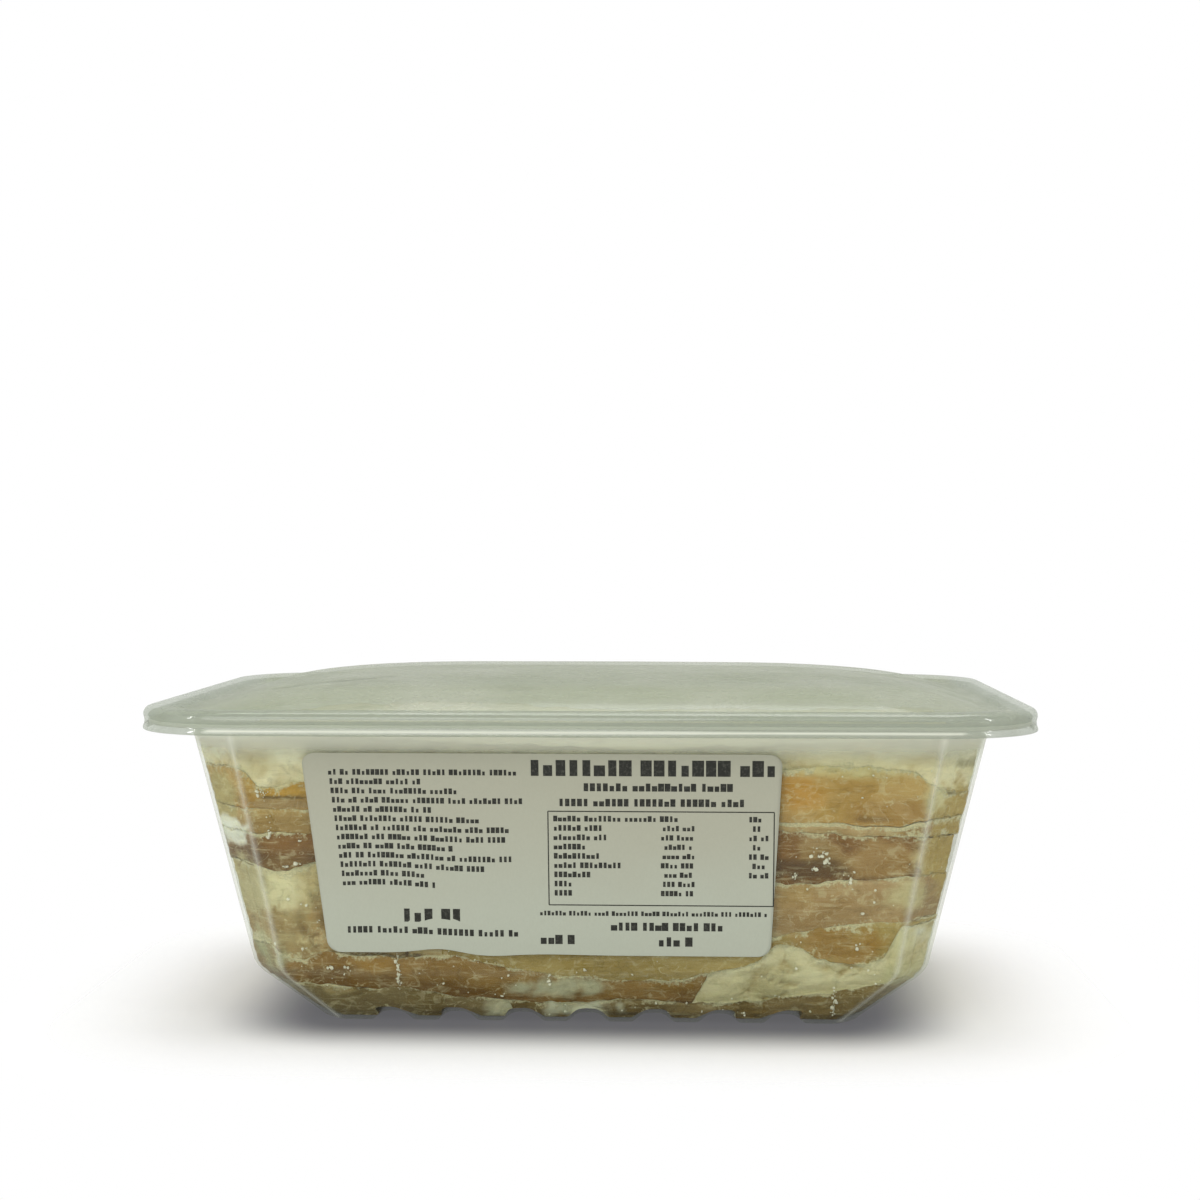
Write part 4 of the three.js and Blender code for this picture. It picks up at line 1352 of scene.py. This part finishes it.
def fillet_values(name, place, values):
    """The colour and the saltiness of each point of a fillet."""
    crust, number = FILLETS[name].crust, FILLET_NUMBERS[name]
    broad = 1.5 * crumpled(place, (15.0, 15.0, 5.0), number + SHADE_SEED)
    # Painted shade: each fillet darkens towards its lower edge, partly the flesh's own colour.
    dark = smooth(0.55 * broad + 1.1 * (0.45 - values["height"]), -0.5, 0.75)
    flesh, shade = (np.array(paint(text)[:3]) for text in (FILLETS[name].flesh, FILLETS[name].shade))
    tone = flesh + (shade - flesh) * dark[:, None]
    tone = stained_and_shaded(tone, place, STAINS_AND_SEAM_SHADE.get(name, ()) + STAINS_AND_SEAM_SHADE["corners"])
    # Painted shade in the hollows between the lumps.
    tone = tone * (1 - values["hollow"][:, None] * (0.3, 0.42, 0.62))
    patch = smooth(crumpled(place, (9.0, 9.0, 4.0), number + CRUST_PATCH_SEED), 0.1, 0.5)
    upper = 0.4 + 0.6 * (values["height"] > 0.5)
    edge = values["rim"] * upper * (0.7 + 0.9 * crumpled(place, 4.0, number + CRUST_EDGE_SEED))
    salt = np.clip((0.55 + crust) * edge + 0.45 * crust * patch - 0.5 * values["hollow"], 0, 1)
    opaque = np.ones((len(place), 1))
    return {"tone": np.hstack([tone, opaque]), "salt": salt}


def cod_flesh(name, settings):
    """Dried cod: waxy where it is moist, fibrous and paler where it dried, with salt on its edges and
    painted shade in its cracks and fibre grooves.
    """
    number = FILLET_NUMBERS[name]
    dry = (*settings.crust, 1.0)
    material, graph, surface = shader("flesh_of_" + name)
    shift = (number * 37.1, number * 11.3, number * 5.7)
    place = graph.place(shift=shift)
    tone = graph.add("ShaderNodeAttribute", attribute_name="tone").outputs["Color"]
    salt = graph.attribute("salt")
    cloud = graph.noise(graph.place((0.6, 0.6, 1.0), shift), 9.0, 3.0, 0.55, 0.5)
    fibre = graph.noise(graph.place((0.12, 0.12, 1.0), shift), 0.75, 3.0, 0.6, 0.5)
    grit = graph.noise(place, 0.9, 3.0, 0.65)
    speck = graph.noise(place, 0.35, 2.0, 0.5)
    moist = graph.ramp(cloud, 0.49, 0.53)
    away = graph.math("ABSOLUTE", graph.math("SUBTRACT", cloud, 0.51))
    tide = graph.times(graph.ramp(away, 0.009, 0.0), graph.ramp(grit, 0.4, 0.6))
    tone = graph.mix(graph.times(moist, 0.75), tone, graph.tuned(tone, 1.1, 0.87, 0.498))
    bent = graph.add("ShaderNodeTexNoise", {"Vector": place, "Scale": 0.22, "Detail": 2.0}).outputs["Color"]
    bent = graph.add("ShaderNodeVectorMath", {0: bent, "Scale": 5.0}, operation="SCALE").outputs[0]
    bent = graph.add("ShaderNodeVectorMath", {0: graph.place((0.3, 0.3, 1.0), shift), 1: bent}).outputs[0]
    flakes = graph.add(
        "ShaderNodeTexVoronoi", {"Vector": bent, "Scale": 1 / FLAKE_SIZE}, feature="DISTANCE_TO_EDGE")
    split = graph.ramp(flakes.outputs["Distance"], 0.07, 0.0)
    split = graph.times(split, graph.ramp(cloud, 0.53, 0.62))
    blotch = graph.noise(place, 3.4, 4.0, 0.62, 1.2)
    tone = graph.mix(graph.ramp(blotch, 0.47, 0.32, 0.0, 0.5), tone, graph.tuned(tone, 1.05, 0.66))
    tone = graph.mix(graph.ramp(blotch, 0.54, 0.68, 0.0, 0.3), tone, dry)
    tone = graph.mix(graph.ramp(fibre, 0.52, 0.74, 0.0, 0.3), tone, dry)
    # A darker copy of the flesh: along the fibres' grooves partly their own streaks and partly painted
    # shade, and painted shade in the cracks between the flakes.
    deep = graph.tuned(tone, 1.1, 0.55)
    tone = graph.mix(graph.ramp(fibre, 0.46, 0.26, 0.0, 0.34), tone, deep)
    tone = graph.mix(graph.times(split, 0.3), tone, deep)
    tone = graph.mix(graph.times(tide, 0.45), tone, dry)
    edge = graph.times(graph.math("SUBTRACT", grit, 0.5), 1.3, salt)
    edge = graph.times(graph.ramp(edge, 0.3, 0.62), graph.ramp(salt, 0.04, 0.3))
    crusted = graph.mix(graph.ramp(speck, 0.35, 0.65), dry, paint("b9b493"))
    tone = graph.mix(graph.times(edge, 0.85), tone, crusted)
    rough = graph.ramp(moist, 0.0, 1.0, 0.6, 0.36)
    relief = graph.times(fibre, 0.5, graph.times(grit, 0.8))
    relief = graph.times(graph.times(speck, edge), 0.5, relief)
    relief = graph.times(split, -0.2, relief)
    body = graph.add("ShaderNodeBsdfPrincipled", {
        "Base Color": tone, "Roughness": rough, "Specular IOR Level": 0.3,
        "Subsurface Weight": 0.12, "Subsurface Radius": (1.0, 0.6, 0.3), "Subsurface Scale": 2.2 * MM,
        "Normal": graph.bump(relief, 0.5, 0.6),
    })
    graph.tree.links.new(body.outputs[0], surface)
    return material


def fillet_mesh(name, settings):
    """A fillet's mesh, with the doubled points along the middle of its faces merged."""
    place, faces, values = fillet_surface(name, settings)
    mesh = make_mesh(name, place, faces, fillet_values(name, place, values))
    merge = bmesh.new()
    merge.from_mesh(mesh)
    bmesh.ops.remove_doubles(merge, verts=merge.verts, dist=1e-7)
    bmesh.ops.recalc_face_normals(merge, faces=merge.faces)
    merge.to_mesh(mesh)
    merge.free()
    return mesh


class BuildFillets(bpy.types.Operator):
    """Build the stacked fillets of dried cod"""

    bl_idname = "cod_tub.build_fillets"
    bl_label = "Build fillets"

    def execute(self, context):
        settings = context.scene.cod_tub.fish
        for name in FILLETS:
            put("cod_" + name, fillet_mesh(name, settings), cod_flesh(name, settings), name)
        return {"FINISHED"}


# ---- salt ----

WALL_SALT = (
    # place along the front wall, height, spreads along and up, and grains on a square millimetre
    (-78.7, 58.0, 1.0, 1.1, 5.0), (-77.9, 51.7, 0.5, 1.0, 4.0), (-77.3, 48.1, 0.5, 0.9, 4.0),
    (-74.0, 40.0, 0.5, 0.5, 4.0), (-71.0, 40.3, 0.5, 0.4, 3.0), (-71.0, 30.5, 2.5, 4.0, 0.12),
    (-63.8, 14.1, 0.5, 0.4, 5.0), (-59.7, 13.6, 0.7, 0.5, 5.0), (-63.5, 11.0, 0.9, 0.6, 3.0),
    (-70.5, 18.5, 0.6, 0.5, 3.0), (-46.8, 14.0, 0.3, 3.6, 9.0), (-9.5, 11.0, 0.4, 1.4, 7.0),
    (-62.0, 4.0, 3.0, 1.5, 0.15), (-35.0, 13.0, 8.0, 3.0, 0.03), (-20.0, 11.0, 8.0, 4.0, 0.04),
    (12.0, 12.5, 2.5, 0.8, 0.4), (-2.0, 14.0, 3.0, 0.9, 0.3), (20.0, 5.0, 12.0, 3.0, 0.05),
    (55.2, 44.3, 0.3, 0.9, 4.0), (58.0, 44.1, 1.1, 0.6, 6.0), (58.4, 42.3, 0.6, 0.4, 5.0),
    (55.0, 40.0, 0.6, 0.8, 4.0), (50.7, 38.2, 0.4, 0.9, 4.0), (64.5, 37.8, 0.6, 1.6, 3.0),
    (70.0, 31.0, 2.0, 1.0, 0.5), (66.0, 20.0, 3.5, 3.0, 0.12), (52.0, 22.5, 4.0, 2.0, 0.08),
    (60.8, 5.0, 0.3, 3.6, 8.0), (66.0, 3.5, 1.0, 0.6, 1.5), (38.5, 2.6, 0.7, 0.5, 3.0),
    (64.0, 58.0, 7.0, 1.0, 0.08), (72.0, 8.0, 5.0, 4.0, 0.06), (80.0, 14.0, 2.0, 5.0, 0.08),
)


def salt_tree():
    """Scatters irregular crystals on a surface, more where its salt value is high."""
    tree, graph, start, names = geometry_tree("Salt grains", {
        "Density": "Float", "Smallest": "Float", "Largest": "Float", "Seed": "Int", "Material": "Material",
    })
    strength = graph.add("GeometryNodeInputNamedAttribute", {"Name": "salt"}, data_type="FLOAT")
    density = graph.times(start.outputs["Density"], strength.outputs["Attribute"])
    spread = graph.add("GeometryNodeDistributePointsOnFaces", {
        "Mesh": start.outputs["Geometry"], "Density": density, "Seed": start.outputs["Seed"],
    })
    ball = graph.add("GeometryNodeMeshIcoSphere", {"Radius": 1.0, "Subdivisions": 1})
    lumps = graph.add("ShaderNodeTexNoise", {"Scale": 1.3, "Detail": 1.0})
    push = graph.add(
        "ShaderNodeVectorMath", {0: lumps.outputs["Color"], 1: (0.5, 0.5, 0.5)}, operation="SUBTRACT")
    shaped = graph.add("GeometryNodeSetPosition", {"Geometry": ball.outputs[0], "Offset": push.outputs[0]})
    turn = graph.add("FunctionNodeRandomValue", {"Max": (TAU, TAU, TAU)}, data_type="FLOAT_VECTOR")
    draw = graph.add("FunctionNodeRandomValue", data_type="FLOAT").outputs[1]
    range_ = graph.math("SUBTRACT", start.outputs["Largest"], start.outputs["Smallest"])
    size = graph.times(graph.math("POWER", draw, 3.0), range_, start.outputs["Smallest"])
    squash = graph.add("FunctionNodeRandomValue", {"Min": (0.6, 0.6, 0.5), "Max": (1.3, 1.1, 1.0)},
                       data_type="FLOAT_VECTOR")
    scale = graph.add("ShaderNodeVectorMath", {0: squash.outputs[0], "Scale": size}, operation="SCALE")
    placed = graph.add("GeometryNodeInstanceOnPoints", {
        "Points": spread.outputs["Points"], "Instance": shaped.outputs[0],
        "Rotation": turn.outputs[0], "Scale": scale.outputs[0],
    })
    close_tree(graph, placed.outputs[0], start.outputs["Material"])
    return tree, names


def salt_crystal(settings, name, tint):
    """Dull white crystals that let a little light through."""
    material, graph, surface = shader(name)
    speck = graph.noise(graph.place(), 1.5, 2.0, 0.5)
    tone = graph.mix(graph.ramp(speck, 0.4, 0.65), (*settings.tint, 1.0), paint(tint))
    salt = graph.add("ShaderNodeBsdfPrincipled", {
        "Base Color": tone, "Roughness": 0.4, "Specular IOR Level": 0.5,
    })
    graph.tree.links.new(salt.outputs[0], surface)
    return material


def fish_emitter(settings, value_of, sink=0.0):
    """The sides of all fillets as one surface, sunk in and raised, with the salt that value_of gives."""
    points, faces, salt = [], [], []
    count = 0
    for name in FILLETS:
        place, sides, values = fillet_surface(name, settings)
        strength = value_of(name, place, values)
        inwards = -np.sign(place[:, 1])
        place = place + np.column_stack([np.zeros(len(place)), inwards, np.ones(len(place))]) * sink
        chosen = sides[strength[sides].max(axis=1) > 0.001]
        faces.append(chosen + count)
        points.append(place)
        salt.append(strength)
        count += len(place)
    return make_mesh("emitter", np.vstack(points), np.vstack(faces), {"salt": np.concatenate(salt)})


def keep_inside(mesh):
    """Moves the grains' outer points back to the middle of the tub's wall and base."""
    points = np.empty(len(mesh.vertices) * 3, np.float32)
    mesh.vertices.foreach_get("co", points)
    place = points.reshape(-1, 3).astype(float) / MM
    half_length, half_depth, clip = section(place[:, 2], WALL / 2)
    x = np.clip(place[:, 0], -half_length, half_length)
    y = np.clip(place[:, 1], -half_depth, half_depth)
    x, y = within_clips(x, y, half_length, half_depth, clip)
    z = np.maximum(place[:, 2], base_height(x / float(section(GROOVE_LEVEL, WALL)[0])) - WALL / 2)
    mesh.vertices.foreach_set("co", (np.column_stack([x, y, z]) * MM).astype(np.float32).ravel())
    mesh.update()
    return mesh


def seam_saltiness(name, place, values):
    """Grains along the rims of the saltier fillets and on the open top."""
    crust = FILLETS[name].crust
    patch = smooth(noise(place, 9.0, FILLET_NUMBERS[name] + GRAIN_PATCH_SEED), 0.0, 0.7)
    rim = np.clip(values["rim"], 0, 1) ** 2
    on_side = (0.8 * rim + 0.05) * (0.12 + patch) * crust
    on_top = 0.1 * patch * (values["height"] > 0.5) * (FILLETS[name].over == "top")
    return np.where(values["side"] > 0, on_side, on_top)


def foot_saltiness(name, place, values):
    """Flakes on the lowest part of the front and the back, where they sink into the feet."""
    low = smooth(place[:, 2], 4.6, 2.6) * (np.abs(place[:, 1]) > 38) * values["side"]
    low = low * (FILLETS[name].under == "floor")
    return low * smooth(noise(place, (9.0, 9.0, 50.0), FOOT_SEED), 0.0, 0.5)


def wall_emitter():
    """The inside of the front wall, with salt only in a few clusters and drips."""
    x, z = np.meshgrid(np.linspace(-84, 84, 421), np.linspace(2, 70, 171), indexing="ij")
    half_length, _, clip = section(z.ravel())
    y = front_wall(z.ravel()) + WALL + 0.15
    limit = half_length - clip - 1
    flat = np.column_stack([np.clip(x.ravel(), -limit, limit), y, z.ravel()])
    salt = np.full(len(flat), 0.006)
    for cx, cz, wide, tall, strength in WALL_SALT:
        salt += strength * np.exp(-((flat[:, 0] - cx) / wide) ** 2 - ((flat[:, 2] - cz) / tall) ** 2)
    grid = np.arange(x.size).reshape(x.shape)
    return make_mesh("emitter", flat, quads(grid), {"salt": salt})


class BuildSalt(bpy.types.Operator):
    """Scatter salt along the seams, on the wall and in the feet"""

    bl_idname = "cod_tub.build_salt"
    bl_label = "Scatter salt"

    def execute(self, context):
        settings = context.scene.cod_tub.salt
        fish = context.scene.cod_tub.fish
        batches = (
            # name, surface, grains on a square millimetre, growth of the grains, slot and second tint
            ("seam_salt", fish_emitter(fish, seam_saltiness), 0.3, 1.0, "cod_cream", "c6c3a6"),
            ("wall_salt", wall_emitter(), 1.0, 1.3, "cod_cream", "d3d1bc"),
            ("foot_crumbs", fish_emitter(fish, foot_saltiness, 0.5), 0.5, 2.0, "cod_pale", "b4b294"),
        )
        for number, (name, emitter, crowd, growth, slot, tint) in enumerate(batches):
            crystal = salt_crystal(settings, name + "_crystal", tint)
            tree, names = salt_tree()
            mesh = grown(emitter, tree, names, {
                "Density": settings.density * crowd,
                "Smallest": settings.smallest * growth,
                "Largest": settings.largest * growth,
                "Seed": settings.seed + number,
                "Material": crystal,
            })
            put(name, keep_inside(mesh), crystal)
        return {"FINISHED"}


# ---- stage ----

FLOOR_DROP = 0.03                 # how far the floor lies below the feet, so that no plane is shared
FLOOR_REACH = 1200.0              # from its middle to its edges
# Name, place in metres, share of the lamps' power, width and height.
LAMPS = (
    ("front_lamp", (-0.4, -1.05, 0.42), 1.12, 0.9, 0.9),
    ("top_lamp", (0.05, 0.15, 0.9), 1.0, 0.7, 0.7),
    ("left_strip", (-0.75, -0.5, 0.3), 0.22, 0.04, 0.5),
    ("right_strip", (0.8, -0.45, 0.35), 0.25, 0.04, 0.5),
)
LAMP_TARGET = (0.0, 0.0, 0.04)
CAMERA_PLACE = (0.026, -0.5645, 0.1195)
CAMERA_DOWN = 1.585               # degrees below the level
CAMERA_TURN = 2.55


def floor_mesh():
    """A wide flat floor."""
    side = np.linspace(-FLOOR_REACH, FLOOR_REACH, 9)
    points = np.array([(x, y, -FLOOR_DROP) for y in side for x in side])
    grid = np.arange(len(points)).reshape(len(side), len(side))
    return make_mesh("floor", points, quads(grid, by_rows=True))


class BuildStage(bpy.types.Operator):
    """Set up the pale floor with a painted shadow and a faint painted glow round the tub's foot, the soft
    lights and the camera
    """

    bl_idname = "cod_tub.build_stage"
    bl_label = "Build stage"

    def execute(self, context):
        settings = context.scene.cod_tub.stage
        scene = context.scene
        material, graph, surface = shader("pale_floor")
        plain = graph.add("ShaderNodeBsdfPrincipled", {
            "Base Color": (*settings.floor, 1.0), "Roughness": 0.7, "Specular IOR Level": 0.2,
        })
        axes = graph.add("ShaderNodeSeparateXYZ", {0: graph.place()}).outputs

        def distance(half_length, half_depth):
            """How far a place lies outside a rectangle."""
            beside, before = [
                graph.math("MAXIMUM", graph.math("SUBTRACT", graph.math("ABSOLUTE", axis), edge), 0.0)
                for axis, edge in ((axes[0], half_length), (axes[1], half_depth))
            ]
            return graph.math("SQRT", graph.math(
                "MULTIPLY_ADD", beside, beside, graph.times(before, before)))

        near = graph.ramp(distance(60.0, 44.0), 8.0, 38.0)
        # Painted shadow: the floor darkens to 38383c within 8 mm of the tub's footprint, fading out by 38
        # mm.
        graph.feed(plain.inputs["Base Color"], graph.mix(near, paint("38383c"), (*settings.floor, 1.0)))
        # Painted light: the floor glows faintly near and under the tub, lifting that painted shadow.
        graph.feed(plain.inputs["Emission Color"], paint("f4f4fa"))
        graph.feed(plain.inputs["Emission Strength"], graph.times(near, -0.12, 0.12))
        far = graph.ramp(distance(75.0, 45.0), 8.0, 85.0)
        open_air = graph.add("ShaderNodeBsdfTransparent")
        graph.tree.links.new(graph.over(far, plain, open_air).outputs[0], surface)
        mesh = floor_mesh()
        mesh.materials.append(material)
        floor = bpy.data.objects.new("floor", mesh)
        scene.collection.objects.link(floor)

        world = bpy.data.worlds.new("studio")
        world.use_nodes = True
        world.node_tree.nodes.clear()
        air = Graph(world.node_tree)
        light = air.add("ShaderNodeBackground", {"Color": WHITE, "Strength": settings.sky})
        backdrop = air.add("ShaderNodeBackground", {"Color": WHITE, "Strength": 1.0})
        seen = air.add("ShaderNodeLightPath").outputs["Is Camera Ray"]
        both = air.over(seen, light, backdrop)
        air.add("ShaderNodeOutputWorld", {"Surface": both.outputs[0]})
        scene.world = world

        for name, place, power, width, tall in LAMPS:
            lamp = bpy.data.lights.new(name, "AREA")
            lamp.energy = settings.lamp * power
            lamp.shape = "RECTANGLE"
            lamp.size = width
            lamp.size_y = tall
            holder = bpy.data.objects.new(name, lamp)
            holder.location = place
            aim = Vector(LAMP_TARGET) - Vector(place)
            holder.rotation_euler = aim.to_track_quat("-Z", "Y").to_euler()
            scene.collection.objects.link(holder)

        lens = bpy.data.cameras.new("camera")
        lens.sensor_width = 36.0
        lens.lens = settings.focal_length
        camera = bpy.data.objects.new("camera", lens)
        camera.location = CAMERA_PLACE
        camera.rotation_euler = (math.radians(90 - CAMERA_DOWN), 0.0, math.radians(CAMERA_TURN))
        scene.collection.objects.link(camera)
        scene.camera = camera
        scene.view_settings.view_transform = "Standard"
        return {"FINISHED"}


# ---- add-on ----


class CodTubSettings(bpy.types.PropertyGroup):
    """Everything that can be changed."""

    tub: PointerProperty(type=TubSettings)
    lid: PointerProperty(type=LidSettings)
    label: PointerProperty(type=LabelSettings)
    fish: PointerProperty(type=FishSettings)
    salt: PointerProperty(type=SaltSettings)
    stage: PointerProperty(type=StageSettings)


OPERATORS = (BuildTub, BuildLid, BuildLabel, BuildFillets, BuildSalt, BuildStage)


class CodTubPanel(bpy.types.Panel):
    """Lists the steps that build the tub, with their settings."""

    bl_idname = "VIEW3D_PT_cod_tub"
    bl_label = "Cod tub"
    bl_space_type = "VIEW_3D"
    bl_region_type = "UI"
    bl_category = "Cod tub"

    def draw(self, context):
        settings = context.scene.cod_tub
        groups = (settings.tub, settings.lid, settings.label, settings.fish, settings.salt, settings.stage)
        for operator, group in zip(OPERATORS, groups):
            column = self.layout.box().column()
            column.operator(operator.bl_idname)
            for key in group.bl_rna.properties.keys():
                if key not in ("rna_type", "name"):
                    column.prop(group, key)


CLASSES = (
    TubSettings, LidSettings, LabelSettings, FishSettings, SaltSettings, StageSettings, CodTubSettings,
    *OPERATORS, CodTubPanel,
)


def register():
    for cls in CLASSES:
        bpy.utils.register_class(cls)
    bpy.types.Scene.cod_tub = PointerProperty(type=CodTubSettings)


def unregister():
    del bpy.types.Scene.cod_tub
    for cls in reversed(CLASSES):
        bpy.utils.unregister_class(cls)


def main():
    register()
    bpy.ops.cod_tub.build_tub()
    bpy.ops.cod_tub.build_lid()
    bpy.ops.cod_tub.build_label()
    bpy.ops.cod_tub.build_fillets()
    bpy.ops.cod_tub.build_salt()
    bpy.ops.cod_tub.build_stage()


if __name__ == "__main__":
    main()
